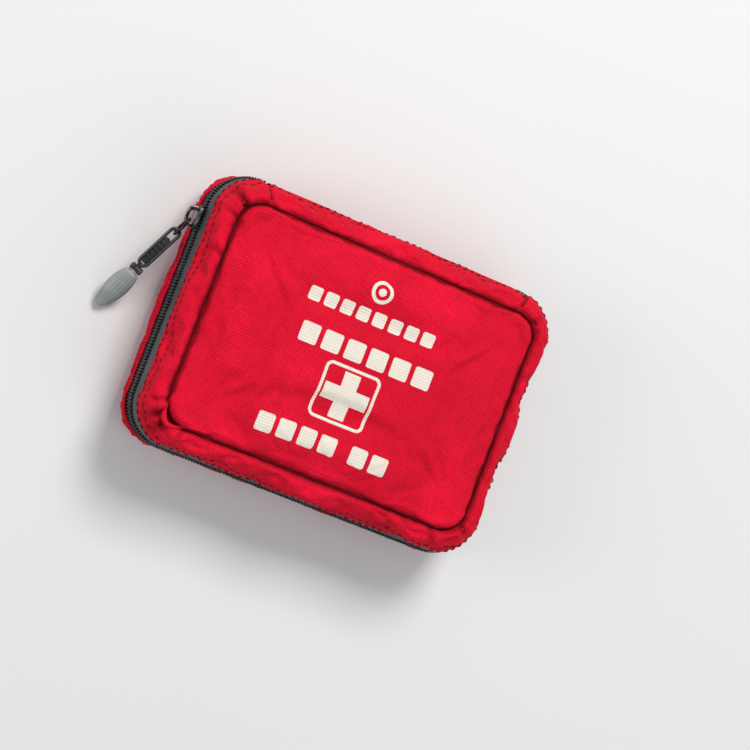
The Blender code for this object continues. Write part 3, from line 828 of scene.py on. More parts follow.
def make_front_panel(material):
    """Crowned, slightly rumpled front panel with a rolled edge and the print on it."""
    x, y, u, v = panel_grid(*FRONT_GRID)
    inward = panel_inward(x, y)
    near = np.clip(inward / SHOULDER, 0.0, 1.0)
    roll = np.sqrt(np.clip(1.0 - (1.0 - near) ** 2, 0.0, 1.0))
    crown = 1.0 - (1.0 - np.clip(inward / CROWN_REACH, 0.0, 1.0)) ** 2.6
    z = EDGE_Z + ROLL * roll + (TOP_Z - 0.3 * MM - EDGE_Z - ROLL) * crown
    points = np.stack([x, y, z], axis=-1)
    piece = sheet_mesh("front_panel_cloth", points, material, cloth_map=points[..., :2])
    border = (np.abs(u) > 0.999) | (np.abs(v) > 0.999)
    sewn = np.flatnonzero(border.ravel())
    simulate(piece, sewn, pressure=1.2, spare=0.02, bending=0.4, cap=1.2 * MM)
    rows = read_points(piece)
    normals = read_points(piece, "normal")
    inward = inward.ravel()
    flat = rows * (1.0, 1.0, 0.0)
    gather = noise_at(flat, 190.0, 3.0)
    broad = noise_at(flat, 30.0, 5.0)
    crease = 1.0 - np.abs(noise_at(rows * (1.0, 0.7, 0.0), 48.0, 8.0)) * 5.0
    beside = [half - 8 * MM - np.abs(flat[:, k]) for k, half in enumerate((PANEL_X, PANEL_Y))]
    corner = np.exp(-((np.hypot(*beside) / (9 * MM)) ** 2))
    depth = 0.34 * MM * gather * np.exp(-inward / (6.0 * MM)) * (1.0 + 1.6 * corner)
    depth += 0.38 * MM * broad + 0.14 * MM * np.clip(crease, 0.0, 1.0)
    depth *= np.clip(inward / (2.5 * MM), 0.10, 1.0)
    write_points(piece, rows + normals * depth[:, None])
    # Painted shade in a band of uneven width along the panel's seamed edge
    seam_shade_reach = 0.55 * MM * (1.0 + 0.5 * noise_at(flat, 120.0, 21.0))
    paint_crease_shade(piece, np.exp(-((inward / seam_shade_reach) ** 2)))
    thicken(piece, CLOTH_THICK)
    finish_piece(piece, "front_half", "red_ripstop", "front_panel")


def panel_inward(x, y):
    """How far each point is inside the panel's rounded outline."""
    dx = np.abs(x) - (PANEL_X - PANEL_RADIUS)
    dy = np.abs(y) - (PANEL_Y - PANEL_RADIUS)
    outside = np.hypot(np.maximum(dx, 0.0), np.maximum(dy, 0.0))
    return PANEL_RADIUS - outside - np.minimum(np.maximum(dx, dy), 0.0)


def make_back_panel(material):
    """Back panel, pressed flat where it lies, its rim turned up to the seam."""
    x, y, _, _ = panel_grid(*BACK_GRID)
    points = np.stack([x, y, np.zeros_like(x)], axis=-1)
    dent = np.abs(noise_at(points.reshape(-1, 3), 38.0, 12.0)).reshape(x.shape)
    turned_up = np.exp(-panel_inward(x, y) / (1.2 * MM))
    points[..., 2] = 0.05 * MM + 0.55 * MM * dent + 1.0 * MM * turned_up
    piece = sheet_mesh("back_panel_cloth", points, material, flip=True, cloth_map=points[..., :2])
    thicken(piece, CLOTH_THICK)
    finish_piece(piece, "back_half", "red_ripstop", "back_panel")


def bar(name, path, wide, thick, material, up=(0, 0, 1), closed=False, sides=12, square=0.6):
    """A bar along a path, of rounded section: square 1 is an oval, less is boxier.

    wide and thick are one size or one for each point; thick lies along up.
    """
    path = np.array(path, float)
    total = len(path)
    if closed:
        tangent = np.roll(path, -1, axis=0) - np.roll(path, 1, axis=0)
    else:
        tangent = np.gradient(path, axis=0)
    tangent /= np.linalg.norm(tangent, axis=1, keepdims=True)
    side = np.cross(np.broadcast_to(np.array(up, float), path.shape), tangent)
    side /= np.maximum(np.linalg.norm(side, axis=1, keepdims=True), 1e-9)
    over = np.cross(tangent, side)
    wide = np.broadcast_to(wide, total)[:, None] / 2
    thick = np.broadcast_to(thick, total)[:, None] / 2
    rows = []
    for angle in math.tau * (np.arange(sides) + 0.5) / sides:
        across = squared(math.cos(angle), square)
        rows.append(path + side * wide * across + over * thick * squared(math.sin(angle), square))
    return sealed(sheet_mesh(name, np.array(rows), material, wrap=closed, wrap_rows=True))


def put_back(bm, thing):
    """Write an edited mesh back into its object."""
    bm.to_mesh(thing.data)
    bm.free()
    thing.data.shade_smooth()
    return thing


def sealed(thing, weld=0.002 * MM):
    """Weld doubled points, close open ends and turn the faces outwards."""
    bm = bmesh.new()
    bm.from_mesh(thing.data)
    bmesh.ops.remove_doubles(bm, verts=bm.verts, dist=weld)
    rims = [edge for edge in bm.edges if edge.is_boundary]
    bmesh.ops.holes_fill(bm, edges=rims, sides=0)
    bmesh.ops.recalc_face_normals(bm, faces=bm.faces)
    return put_back(bm, thing)


def joined(name, things):
    """Make one piece of several; it takes the first one's place."""
    bm = bmesh.new()
    for thing in things:
        bm.from_mesh(thing.data)
    first = put_back(bm, things[0])
    for thing in things[1:]:
        bpy.data.objects.remove(thing, do_unlink=True)
    first.name = name
    return first


def turned(name, profile, origin, axis, material, sides=36, ring=False):
    """A profile of (radius, place along the axis) turned about an axis."""
    axis = np.array(axis, float) / np.linalg.norm(axis)
    side = np.cross(axis, (0.31, 0.42, 0.85) if abs(axis[2]) < 0.9 else (1.0, 0.0, 0.0))
    side /= np.linalg.norm(side)
    other = np.cross(axis, side)
    angle = math.tau * np.arange(sides) / sides
    around = np.cos(angle)[:, None] * side + np.sin(angle)[:, None] * other
    rows = [np.array(origin) + axis * place + around * radius for radius, place in profile]
    return sealed(sheet_mesh(name, np.array(rows), material, wrap=True, wrap_rows=ring))


def plate(name, points, low, high, origin, axes, material, bevel=0.2 * MM, segments=2):
    """A flat outline made a plate between two heights, with eased edges."""
    bm = bmesh.new()
    rings = []
    for height in (low, high):
        local = np.array([(x, y, height) for x, y in points])
        rings.append([bm.verts.new(p) for p in out_from(np.array(origin), local, *axes)])
        bm.faces.new(rings[-1])
    for i, corner in enumerate(rings[0]):
        bm.faces.new((corner, rings[0][i + 1 - len(points)], rings[1][i + 1 - len(points)], rings[1][i]))
    bmesh.ops.recalc_face_normals(bm, faces=bm.faces)
    edges = [edge for edge in bm.edges if edge.calc_face_angle(0.0) > math.radians(50.0)]
    bmesh.ops.bevel(bm, geom=edges, offset=bevel, segments=segments, affect="EDGES", profile=0.6)
    mesh = bpy.data.meshes.new(name)
    mesh.materials.append(material)
    made = put_back(bm, placed(name, mesh))
    mesh.set_sharp_from_angle(angle=math.radians(40.0))
    return made


def smooth_curve(points, count, closed=False):
    """Points spread evenly along a smooth curve through the given ones."""
    points = np.array(points, float)
    if closed:
        knots = np.vstack([points[-1:], points, points[:2]])
    else:
        knots = np.vstack([2 * points[:1] - points[1:2], points, 2 * points[-1:] - points[-2:-1]])
    dense = []
    for a, b, c, d in zip(knots, knots[1:], knots[2:], knots[3:]):
        for t in np.arange(16) / 16:
            spread = 2 * b + (c - a) * t + (2 * a - 5 * b + 4 * c - d) * t**2
            dense.append(0.5 * (spread + (3 * b - a - 3 * c + d) * t**3))
    dense = np.array(dense + [dense[0] if closed else knots[-2]])
    run = lengths(dense)
    return at_run(np.linspace(0.0, run[-1], count + closed)[:count], run, dense)


# Where round the outline the piping's ear stands, and how wide it is
EAR_AT = 0.690
EAR_SPREAD = 0.0105


def ear_marks(piece, ear):
    """Piping lies in its seam's shade, except where the ear stands out of it."""
    high = read_points(piece)[:, 2]
    level = np.median(high)
    return 0.9 - 1.2 * np.clip((high - level) / ear, 0.0, 1.0)


def make_piping(name, body, node, z, material, seed, ear=0.0):
    """Thin rolled seam between a panel and its wall; an ear of it stands out at one corner."""
    flat, normals, corners = case_ring(0.0, 0.75 * MM)
    path = lifted(flat + normals * (0.5 * MM * corners[:, None] ** 2), z)
    ripple = noise_row(np.arange(len(path)) * 0.55, seed, 0.0)
    run = lengths(path)
    stand = ear * np.exp(-(((run / run[-1] - EAR_AT) / EAR_SPREAD) ** 2))
    path[:, 2] += 0.12 * MM * ripple + stand
    path[:, :2] += normals * stand[:, None] * 1.05
    size = 1.24 * MM * (1.0 + 0.22 * ripple) + 0.28 * stand
    piece = bar(name, path, size, size, material, closed=True, sides=8, square=1.0)
    # Painted shade over the piping in its seam, less where the ear stands out
    paint_crease_shade(piece, ear_marks(piece, ear) if ear else np.full(len(piece.data.vertices), 0.85))
    finish_piece(piece, body, "red_ripstop", node)


def stitch_row(name, path, normals, material, body, slot, stitch=2.2 * MM, space=0.9 * MM, radius=0.28 * MM,
               closed=True, stations=5, sides=5):
    """A row of thread stitches that dip into the cloth at both ends, as one piece."""
    if closed:
        path = np.vstack([path, path[:1]])
        normals = np.vstack([normals, normals[:1]])
    run = lengths(path)
    count = int(run[-1] / (stitch + space))
    pitch = run[-1] / count
    angles = math.tau * np.arange(sides)[:, None] / sides
    verts = []
    faces = []
    for number in range(count):
        base = stations * sides * number
        for part in np.linspace(0.0, 1.0, stations):
            place = number * pitch + part * stitch
            centre = at_run(place, run, path)
            along = at_run(place + 0.4 * MM, run, path) - centre
            along /= max(np.linalg.norm(along), 1e-9)
            up = at_run(place, run, normals)
            swell = math.sin(math.pi * part)
            width = radius * (0.62 + 0.38 * swell)
            around = np.cross(up, along) * np.cos(angles) + up * np.sin(angles)
            verts.extend(centre + up * radius * (swell - 0.35) + around * width)
        for first in range(base, base + (stations - 1) * sides, sides):
            for side in range(sides):
                a, b = first + side, first + (side + 1) % sides
                faces.append((a, b, b + sides, a + sides))
        last = base + (stations - 1) * sides
        faces.append(tuple(range(base + sides - 1, base - 1, -1)))
        faces.append(tuple(range(last, last + sides)))
    piece = placed(name, face_mesh(name, verts, faces, material))
    return finish_piece(piece, body, slot)


# ---------------------------------------------------------------- zip

COIL_PITCH = 1.27 * MM
COIL_STEPS = 10
COIL_INSET = 0.5 * MM
COIL_WIRE = 0.6 * MM
COIL_DEPTH = 0.78 * MM
COIL_HEIGHT = 1.56 * MM
COIL_AWAY = 1.42 * MM
SPINE_GRID = (90, 33)


def zip_track(inset):
    """The zip's open route along the rim at an inset: points and outward normals in plan."""
    flat, normals, _ = case_ring(1.0, inset)
    count = len(flat)
    first = SIDE_Y + CORNER + SIDE_X - 1
    order = [i % count for i in range(first, count + SIDE_Y + CORNER + 2)]
    return flat[order], normals[order]


# Section of the tape in mm: inset from the rim's outline, and height away from the zip's middle
TAPE_SECTION = (
    (1.5, 0.1), (1.5, 1.4), (1.3, 2.7), (0.6, 3.2), (0.3, 3.7),
    (0.5, 5.4), (1.1, 7.2), (1.7, 8.2), (2.6, 9.2),
)


def zip_tape(name, body, node, up, material):
    """Coated tape of one half, tucked behind the coil and under the wall's hem."""
    rows = [lifted(zip_track(inset * MM)[0], MID_Z + up * away * MM) for inset, away in TAPE_SECTION]
    piece = sheet_mesh(name, np.array(rows), material, flip=up < 0)
    thicken(piece, TAPE_THICK)
    finish_piece(piece, body, "zip_tape", node)


def zip_coil(name, body, node, up, phase, material):
    """Nylon coil of one half: a flattened helix along the zip, meshing at the middle."""
    flat, normals = zip_track(COIL_INSET)
    run = lengths(flat)
    turns = int(run[-1] / COIL_PITCH)
    turn = np.linspace(0.0, turns, turns * COIL_STEPS + 1)
    place = np.clip(turn / turns * run[-1] + phase * COIL_PITCH, 0.0, run[-1])
    angle = math.tau * turn
    outward = at_run(place, run, normals)
    outward /= np.linalg.norm(outward, axis=1, keepdims=True)
    depth = COIL_DEPTH * np.sin(angle)
    height = MID_Z + up * (COIL_AWAY + COIL_HEIGHT * np.cos(angle))
    path = lifted(at_run(place, run, flat) + outward * depth[:, None], height)
    piece = bar(name, path, COIL_WIRE, COIL_WIRE, material, up=(0.3, 0.4, 0.86), sides=6, square=1.0)
    finish_piece(piece, body, "zip_coil", node)


def zip_threads(body, name, up, material):
    """Thread that holds the coil down, seen as short dashes along its outer edge."""
    flat, normals = zip_track(COIL_INSET - 0.95 * MM)
    for row, away in enumerate((1.9, 2.75)):
        path = lifted(flat, MID_Z + up * away * MM)
        facing = np.column_stack([normals, np.zeros(len(normals))])
        label = "%s_%d" % (name, row + 1)
        sizes = (0.75 * MM, 0.52 * MM, 0.17 * MM)
        stitch_row(label, path, facing, material, body, "zip_tape", *sizes, False, 4, 4)


def make_zip(tape, coil, thread):
    """Both halves of the zip."""
    for half, body, up, phase in (("front", "front_half", 1.0, 0.0), ("back", "back_half", -1.0, 0.5)):
        zip_tape(half + "_tape", body, half + "_zip_tape", up, tape)
        zip_coil(half + "_coil", body, half + "_zip_coil", up, phase, coil)
        zip_threads(body, half + "_coil_thread", up, thread)


def make_spine(material):
    """Plain cloth of the hinge edge, curved from one tray's rim to the other's and fixed in place on
    neither tray.
    """
    low = BACK_RIM_Z - RIM_LIFT - 1.0 * MM
    high = GUSSET_LOW + RIM_LIFT + 1.0 * MM
    end_x = SPINE_END + 1.2 * MM
    x = np.linspace(end_x, -end_x, SPINE_GRID[0])
    ends = np.clip((end_x - np.abs(x)) / (4.0 * MM), 0.0, 1.0)
    rows = []
    for share in np.linspace(0.0, 1.0, SPINE_GRID[1]):
        swell = math.sin(math.pi * share)
        crease = math.exp(-(((share - 0.5) / 0.10) ** 2))
        tucked = 1.5 * math.exp(-share / 0.07) + 2.0 * math.exp(-(1.0 - share) / 0.07)
        y = RIM_Y - (0.35 + tucked) * MM + 0.9 * MM * swell**0.8 - 0.35 * MM * crease
        wobble = 0.35 * MM * noise_row(x * 60.0, share * 2.0, 4.0)
        z = np.full(len(x), low + (high - low) * share)
        rows.append(np.column_stack([x, y + wobble * swell * ends, z]))
    piece = sheet_mesh("spine_cloth", np.array(rows), material)
    thicken(piece, SPINE_THICK)
    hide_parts("spine_back", "spine_front", "spine_hinge_tape")
    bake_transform(piece)


# ---------------------------------------------------------------- slider and pull

def pull_axes():
    """The pull's two hinge points, and its directions: along, across and out of its face."""
    bridge = np.array(joint("pull_ring_hinge")["pos_m"], float)
    eye = np.array(joint("pull_clip_hinge")["pos_m"], float)
    normal = -np.array(joint("pull_ring_hinge")["axis"], float)
    along = (eye - bridge) / np.linalg.norm(eye - bridge)
    return bridge, eye, along, np.cross(normal, along), normal


def out_from(origin, points, *axes):
    """Local points in metres, carried onto the given directions at an origin."""
    return origin + np.array(points, float) @ np.array(axes)


# Half of a slider plate's outline, the wedge, and the bridge's bend as (out, along), all in mm
SLIDER_HALF = (
    (-4.7, 2.3), (-4.1, 3.0), (-2.2, 3.4), (0.6, 3.9), (3.2, 4.25),
    (4.3, 3.8), (4.7, 2.7), (4.2, 1.6), (3.3, 0.8),
)
SLIDER_WEDGE = ((1.2, 0.25), (3.2, 0.5), (3.4, -0.5), (1.2, -0.25), (0.9, 0.0))
BRIDGE_BEND = (
    (0.6, -3.5), (-1.4, -3.4), (-2.5, -2.9), (-2.95, -1.6),
    (-2.95, 0.6), (-2.7, 2.2), (-1.6, 3.2), (0.6, 3.5),
)
SLIDER_ARCH = 3.4 * MM
SLIDER_PLATE = 1.2 * MM


def make_slider(metal):
    """Zip slider: two pinched plates with curled flanges, the wedge and the pull's bridge."""
    low, high, middle, _ = box_of("zip_slider")
    outer = low[0] + SLIDER_ARCH
    inner = high[0]
    points = in_mm(mirrored(SLIDER_HALF))
    axes = ((0, 1, 0), (0, 0, 1), (1, 0, 0))
    centre = (0.0, middle[1], MID_Z)
    parts = [
        plate("slider_face", points, outer, outer + SLIDER_PLATE, centre, axes, metal, 0.35 * MM, 3),
        plate("slider_back", points, inner - SLIDER_PLATE, inner, centre, axes, metal, 0.3 * MM, 2),
    ]
    rail = smooth_curve([(outer + 0.9 * MM, middle[1] + a * MM, b * MM) for a, b in SLIDER_HALF[1:7]], 16)
    for flip in (-1, 1):
        path = rail * (1, 1, flip) + (0, 0, MID_Z)
        parts.append(bar("slider_flange", path, 0.7 * MM, 1.0 * MM, metal, up=(1, 0, 0)))
    wedge = (outer + 0.6 * MM, inner - 0.6 * MM, centre, axes, metal, 0.1 * MM, 1)
    parts.append(plate("slider_wedge", in_mm(SLIDER_WEDGE), *wedge))
    path = smooth_curve([(outer + a * MM, middle[1] + b * MM, MID_Z) for a, b in BRIDGE_BEND], 28)
    run = lengths(path)
    waist = 2.1 * MM - 0.5 * MM * np.sin(math.pi * run / run[-1])
    parts.append(bar("slider_bridge", path, waist, 0.85 * MM, metal, up=(0.4, 0.0, 0.9), square=0.7))
    finish_piece(joined("zip_slider_cast", parts), "slider", "slider_metal", "zip_slider")


# Half of the ring, as (share of its length, half width in mm)
RING_HALF = ((0.0, 0.0), (0.06, 1.6), (0.30, 2.75), (0.62, 3.0), (0.90, 2.2), (1.0, 0.0))


def make_ring(wire):
    """Wire ring: a rounded loop that is fuller at its free end."""
    bridge, eye, along, across, normal = pull_axes()
    length = np.linalg.norm(eye - bridge)
    loop = list(RING_HALF) + [(a, -b) for a, b in reversed(RING_HALF[1:-1])]
    loop = [(a * length, b * MM, 0.0) for a, b in loop]
    path = out_from(bridge, smooth_curve(loop, 56, closed=True), along, normal, across)
    share = (path - bridge) @ along / length
    size = (1.0 + 0.22 * np.clip(share, 0.0, 1.0)) * MM
    piece = bar("pull_ring_wire", path, size, size, wire, up=across, closed=True, square=1.0)
    finish_piece(piece, "ring", "ring_wire", "pull_ring")


# The clip's slot, and outlines in mm from the ring's eye
CLIP_LENGTH = 16.6 * MM
CLIP_RADIUS = 1.95 * MM
CLIP_WEB = ((3.6, -1.5), (17.2, -1.5), (17.2, 1.5), (3.6, 1.5), (2.9, 0.0))
CLIP_TONGUE = ((17.9, -1.3), (21.0, -1.1), (21.0, 1.1), (17.9, 1.3))
STUD_DOME = ((0.0, 0.55), (0.35, 0.45), (0.5, 0.2), (0.5, 0.0), (0.0, 0.0))
CLIP_RIBS = 6
BARREL_AT = 21.1 * MM
# Half of the barrel's profile in mm, as (radius, place along its axis)
BARREL_HALF = (
    (0.0, 2.7), (0.9, 2.7), (1.4, 2.45), (1.5, 2.1), (1.5, 1.75), (1.3, 1.5), (1.2, 1.0), (1.2, 0.3),
)
GRIP_LENGTH = 20.0 * MM
GRIP_SIDES = 72


def make_clip(plastic):
    """Moulded clip: two rails round a slot, a sunk web past the ring's eye, and ribs on it."""
    _, eye, *axes = pull_axes()
    normal = axes[2]
    loop = []
    for end, start, side in ((CLIP_LENGTH, -90.0, 1), (0.0, 90.0, -1)):
        for step in range(13):
            angle = math.radians(start + 15.0 * step)
            loop.append((end + CLIP_RADIUS * math.cos(angle), CLIP_RADIUS * math.sin(angle), 0.0))
        for share in np.linspace(0.44, -0.44, 18):
            loop.append((CLIP_LENGTH * (0.5 + side * share), side * CLIP_RADIUS, 0.0))
    path = out_from(eye, loop, *axes)
    shape = {"up": normal, "closed": True, "sides": 14, "square": 0.7}
    parts = [bar("clip_rail", path, 1.35 * MM, 2.5 * MM, plastic, **shape)]
    for word, points, half, bevel in (("web", CLIP_WEB, 0.45, 0.15), ("tongue", CLIP_TONGUE, 0.9, 0.3)):
        sizes = (-half * MM, half * MM, eye, axes, plastic, bevel * MM)
        parts.append(plate("clip_" + word, in_mm(points), *sizes))
    for number in range(CLIP_RIBS):
        rib = [(5.4 + 2.1 * number, y, 0.0) for y in np.linspace(-1.6, 1.6, 6)]
        path = out_from(eye, in_mm(rib), *axes)
        parts.append(bar("clip_rib", path, 0.55 * MM, 1.9 * MM, plastic, up=normal, sides=8))
    for side in (-1, 1):
        for station in (2.0, 8.3, 14.6):
            at = out_from(eye, (station * MM, side * CLIP_RADIUS, 0.9 * MM), *axes)
            parts.append(turned("clip_stud", in_mm(STUD_DOME), at, normal, plastic, 10))
    finish_piece(joined("pull_clip_moulding", parts), "pull", "clip_plastic", "pull_clip")


def make_barrel(plastic):
    """Spool across the end of the clip, its flanged ends showing on both sides."""
    _, eye, along, across, _ = pull_axes()
    profile = in_mm([(r, -z) for r, z in BARREL_HALF] + list(reversed(BARREL_HALF)))
    piece = turned("pull_barrel_spool", profile, eye + along * BARREL_AT, across, plastic, 28)
    finish_piece(piece, "pull", "clip_plastic", "pull_barrel")


def make_grip(rubber):
    """Oval grip with long ribs, thin at its edges and drawn to a neck at the barrel."""
    _, eye, *axes = pull_axes()
    start = eye + axes[0] * (BARREL_AT + 1.75 * MM)
    angle = math.tau * np.arange(GRIP_SIDES) / GRIP_SIDES
    rows = []
    for share in np.concatenate([[0.0, 0.015], np.linspace(0.04, 0.96, 34), [0.985, 1.0]]):
        body = math.sin(math.pi * (0.16 + 0.84 * share)) ** 0.62
        end = min(share, 1.0 - share) / 0.04
        close = max(math.sqrt(1.0 - (1.0 - end) ** 2), 0.05) if end < 1.0 else 1.0
        flute = 1.0 + 0.045 * np.cos(angle * 18) * min(1.0, share / 0.15, (1.0 - share) / 0.12)
        wide = (0.6 + 8.1 * body) * MM / 2 * close * flute * np.cos(angle)
        deep = (1.0 + 3.0 * body) * MM / 2 * close * flute * np.sin(angle)
        ring = np.column_stack([np.full(GRIP_SIDES, share * GRIP_LENGTH), wide, deep])
        rows.append(out_from(start, ring, *axes))
    piece = sealed(sheet_mesh("pull_grip_moulding", np.array(rows), rubber, wrap=True))
    neck = out_from(start, in_mm([(x, 0.0, 0.0) for x in np.linspace(-1.4, 1.6, 6)]), *axes)
    wide, deep = np.linspace(2.0, 3.0, 6) * MM, np.linspace(1.6, 2.0, 6) * MM
    neck = bar("pull_grip_neck", neck, wide, deep, rubber, up=axes[2])
    finish_piece(joined("pull_grip_moulding", [piece, neck]), "pull", "grip_plastic", "pull_grip")


def make_stops(metal):
    """Pressed end stops, wrapped over the last turns of the coil."""
    for node in ("zip_stop_left", "zip_stop_right"):
        _, _, centre, half = box_of(node)
        size = 2 * half
        parts = []
        for shift in (-0.26, 0.26):
            turn = np.linspace(0, math.tau, 24, False)
            band = (np.full(24, shift), 0.36 * np.cos(turn), 0.40 * np.sin(turn))
            path = centre + np.column_stack(band) * size
            wide, thick = 0.42 * size[0], 0.45 * MM
            parts.append(bar("stop_band", path, wide, thick, metal, (0.02, 1, 0), closed=True, sides=10))
        crown = [centre + size * (x * 0.46, 0.30, 0.0) for x in np.linspace(-1, 1, 7)]
        parts.append(bar("stop_crown", crown, 1.2 * MM, 0.5 * MM, metal, up=(0, 1, 0), sides=10))
        finish_piece(joined(node + "_pressed", parts), "back_half", "slider_metal", node)


PACKET_RIM = 0.12 * MM


def wound_roll(name, node, slot, axis, outer, inner, layer, material, rumple, rows=14, sheet=0.5):
    """A bandage or tape wound on itself, sizes in mm; its layers show as a spiral at both ends."""
    outer, inner, layer, rumple = in_mm((outer, inner, layer, rumple))
    low, high, centre, half = box_of(node)
    length = 2 * half[axis]
    turns = (outer - inner) / layer
    angle = math.tau * np.linspace(0.0, turns, int(turns * 44))
    radius = inner + layer * angle / math.tau
    grid = []
    for place in np.linspace(-0.5, 0.5, rows) * length:
        wobble = rumple * noise_row(angle * 0.9, place * 90.0, turns)
        r = radius + wobble * np.clip((radius - inner) / layer, 0.0, 1.0) * 0.35
        across = [np.cos(angle) * r, np.sin(angle) * r]
        across.insert(axis, place + 0.6 * wobble * (abs(place) > length * 0.49))
        grid.append(np.column_stack(across) + centre)
    grid = np.array(grid)
    grid[..., axis] = np.clip(grid[..., axis], low[axis] + 0.1 * MM, high[axis] - 0.1 * MM)
    piece = sheet_mesh(name, grid, material)
    thicken(piece, layer * sheet, 0, 0.0)
    finish_piece(piece, "back_half", slot, node)


def pillow(name, node, body, slot, material, margin, seed, rumple, columns=40, rows=30):
    """A sealed packet: two faces that swell apart and meet in a flat crimped rim. Sizes are in mm."""
    margin, rumple = in_mm((margin, rumple))
    _, _, centre, half = box_of(node)
    ease = [np.sin(np.linspace(-1.0, 1.0, count) * math.pi / 2) for count in (columns, rows)]
    u, v = np.meshgrid(*ease)
    reach = max(2.2 * half[2], 3.0 * MM)
    swell = 1.0
    for place, size in ((u, half[0]), (v, half[1])):
        inside = np.clip((1.0 - np.abs(place)) * size / margin - 1.0, 0.0, None) * margin
        swell = swell * (1.0 - (1.0 - np.clip(inside / reach, 0, 1)) ** 2.2)
    halves = []
    for side, word in ((1.0, ""), (-1.0, "_under")):
        flat = np.stack([u * half[0], v * half[1], np.zeros_like(u)], axis=-1)
        bumps = noise_at(flat.reshape(-1, 3), 95.0, seed + side)
        bumps = np.abs(bumps + 0.6 * noise_at(flat.reshape(-1, 3), 230.0, seed - side)).reshape(u.shape)
        rise = PACKET_RIM + (half[2] - PACKET_RIM) * swell - bumps * rumple * np.minimum(1.0, 0.25 + swell)
        flat[..., 2] = side * np.clip(rise, PACKET_RIM / 2, half[2])
        halves.append(sheet_mesh(name + word, flat + centre, material, cloth_map=np.stack([u, v], axis=-1)))
    piece = joined(name, halves)
    rim_close(piece)
    finish_piece(piece, body, slot, node)
    return piece


def rim_close(thing):
    """Bridge the two open rims of a packet into one closed skin."""
    bm = bmesh.new()
    bm.from_mesh(thing.data)
    bmesh.ops.bridge_loops(bm, edges=[edge for edge in bm.edges if edge.is_boundary])
    bmesh.ops.recalc_face_normals(bm, faces=bm.faces)
    put_back(bm, thing)


def make_rolls(crepe, cotton):
    """The two bandage rolls and the tape."""
    rolls = (
        ("crepe_bandage", "crepe_bandage_roll", "crepe", 1, 10.7, 1.8, 0.95, crepe, 0.35),
        ("conforming_bandage", "conforming_bandage_roll", "white_cotton", 1, 10.7, 1.6, 0.75, cotton, 0.25),
        ("adhesive_tape", "tape_roll", "white_cotton", 2, 13.5, 10.5, 0.34, cotton, 0.0, 6, 0.7),
    )
    for roll in rolls:
        wound_roll(*roll)


def make_core(plastic):
    """The tape's core: a plain ring of boxy section."""
    _, _, centre, half = box_of("tape_core")
    wall = 0.45 * MM
    profile = []
    for angle in math.tau * np.arange(24) / 24:
        across = squared(math.cos(angle), 0.6)
        tall = squared(math.sin(angle), 0.4)
        profile.append((half[0] - wall + wall * across, centre[2] + tall * half[2]))
    piece = turned("tape_core_ring", profile, centre * (1, 1, 0), (0, 0, 1), plastic, 48, ring=True)
    finish_piece(piece, "back_half", "tape_core", "tape_core")


# Route of the strap over the rolls, as (x, z) in mm
STRAP_ROUTE = (
    (-64.0, 5.2), (-64.2, 12.0), (-63.4, 19.0), (-59.5, 24.0), (-54.0, 25.9), (-46.0, 26.1), (-39.0, 25.9),
    (-31.0, 26.1), (-24.0, 25.6), (-18.6, 22.4), (-15.4, 17.0), (-14.4, 11.0), (-14.3, 4.4),
)


def make_strap(elastic):
    """Elastic strap from the tray's floor, over both rolls and down again."""
    low, high, _, _ = box_of("rolls_strap")
    path = smooth_curve(in_mm([(x, 0.0, z) for x, z in STRAP_ROUTE]), 60)
    rows = [path + (0.0, y, 0.0) for y in np.linspace(low[1], high[1], 7)]
    strap = sheet_mesh("rolls_strap_webbing", np.array(rows), elastic)
    thicken(strap, 0.8 * MM, 1, 0.0)
    finish_piece(strap, "back_half", "elastic", "rolls_strap")


def make_leaflet(paper):
    """Folded instruction sheet: one sheet in three layers, with rounded folds."""
    low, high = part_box("leaflet")
    left, right = low.x + 0.3 * MM, high.x - 0.3 * MM
    bottom, middle, top = low.z + 0.12 * MM, (low.z + high.z) / 2, high.z - 0.12 * MM
    route = [(left, bottom), (right - MM, bottom), (right, (bottom + middle) / 2), (right - MM, middle)]
    route += [(left + MM, middle), (left, (middle + top) / 2), (left + MM, top), (right - 2 * MM, top)]
    dense = []
    for (x0, z0), (x1, z1) in zip(route, route[1:]):
        parts = 24 if abs(x1 - x0) > 5 * MM else 3
        for t in np.arange(parts) / parts:
            dense.append((x0 + (x1 - x0) * t, 0.0, z0 + (z1 - z0) * t))
    dense = np.array(dense + [(route[-1][0], 0.0, route[-1][1])])
    rows = [dense + (0.0, y, 0.0) for y in np.linspace(low.y, high.y, 14)]
    piece = sheet_mesh("leaflet_sheet", np.array(rows), paper)
    thicken(piece, 0.11 * MM, 0, 0.0)
    finish_piece(piece, "back_half", "paper", "leaflet")


def make_packets(film, foil, dressing, gauze):
    """Sealed packets of both trays; margin and rumple in mm close each line."""
    for name, node, body, slot, wrap, margin, seed, rumple in (
        ("triangular_bandage_wrap", "triangular_bandage_packet", "back_half", "film", film, 4.0, 3.0, 0.9),
        ("wound_dressing_wrap", "wound_dressing_packet", "back_half", "paper", dressing, 4.0, 6.0, 0.7),
        ("wipe_sachet_a", "wipe_sachet_1", "back_half", "paper", foil, 2.5, 9.0, 0.25),
        ("wipe_sachet_b", "wipe_sachet_2", "back_half", "film", foil, 2.5, 12.0, 0.25),
        ("gauze_wrap_a", "gauze_packet_1", "front_half", "paper", gauze, 4.0, 15.0, 0.5),
        ("gauze_wrap_b", "gauze_packet_2", "front_half", "paper", gauze, 4.0, 18.0, 0.5),
    ):
        pillow(name, node, body, slot, wrap, margin, seed, rumple)


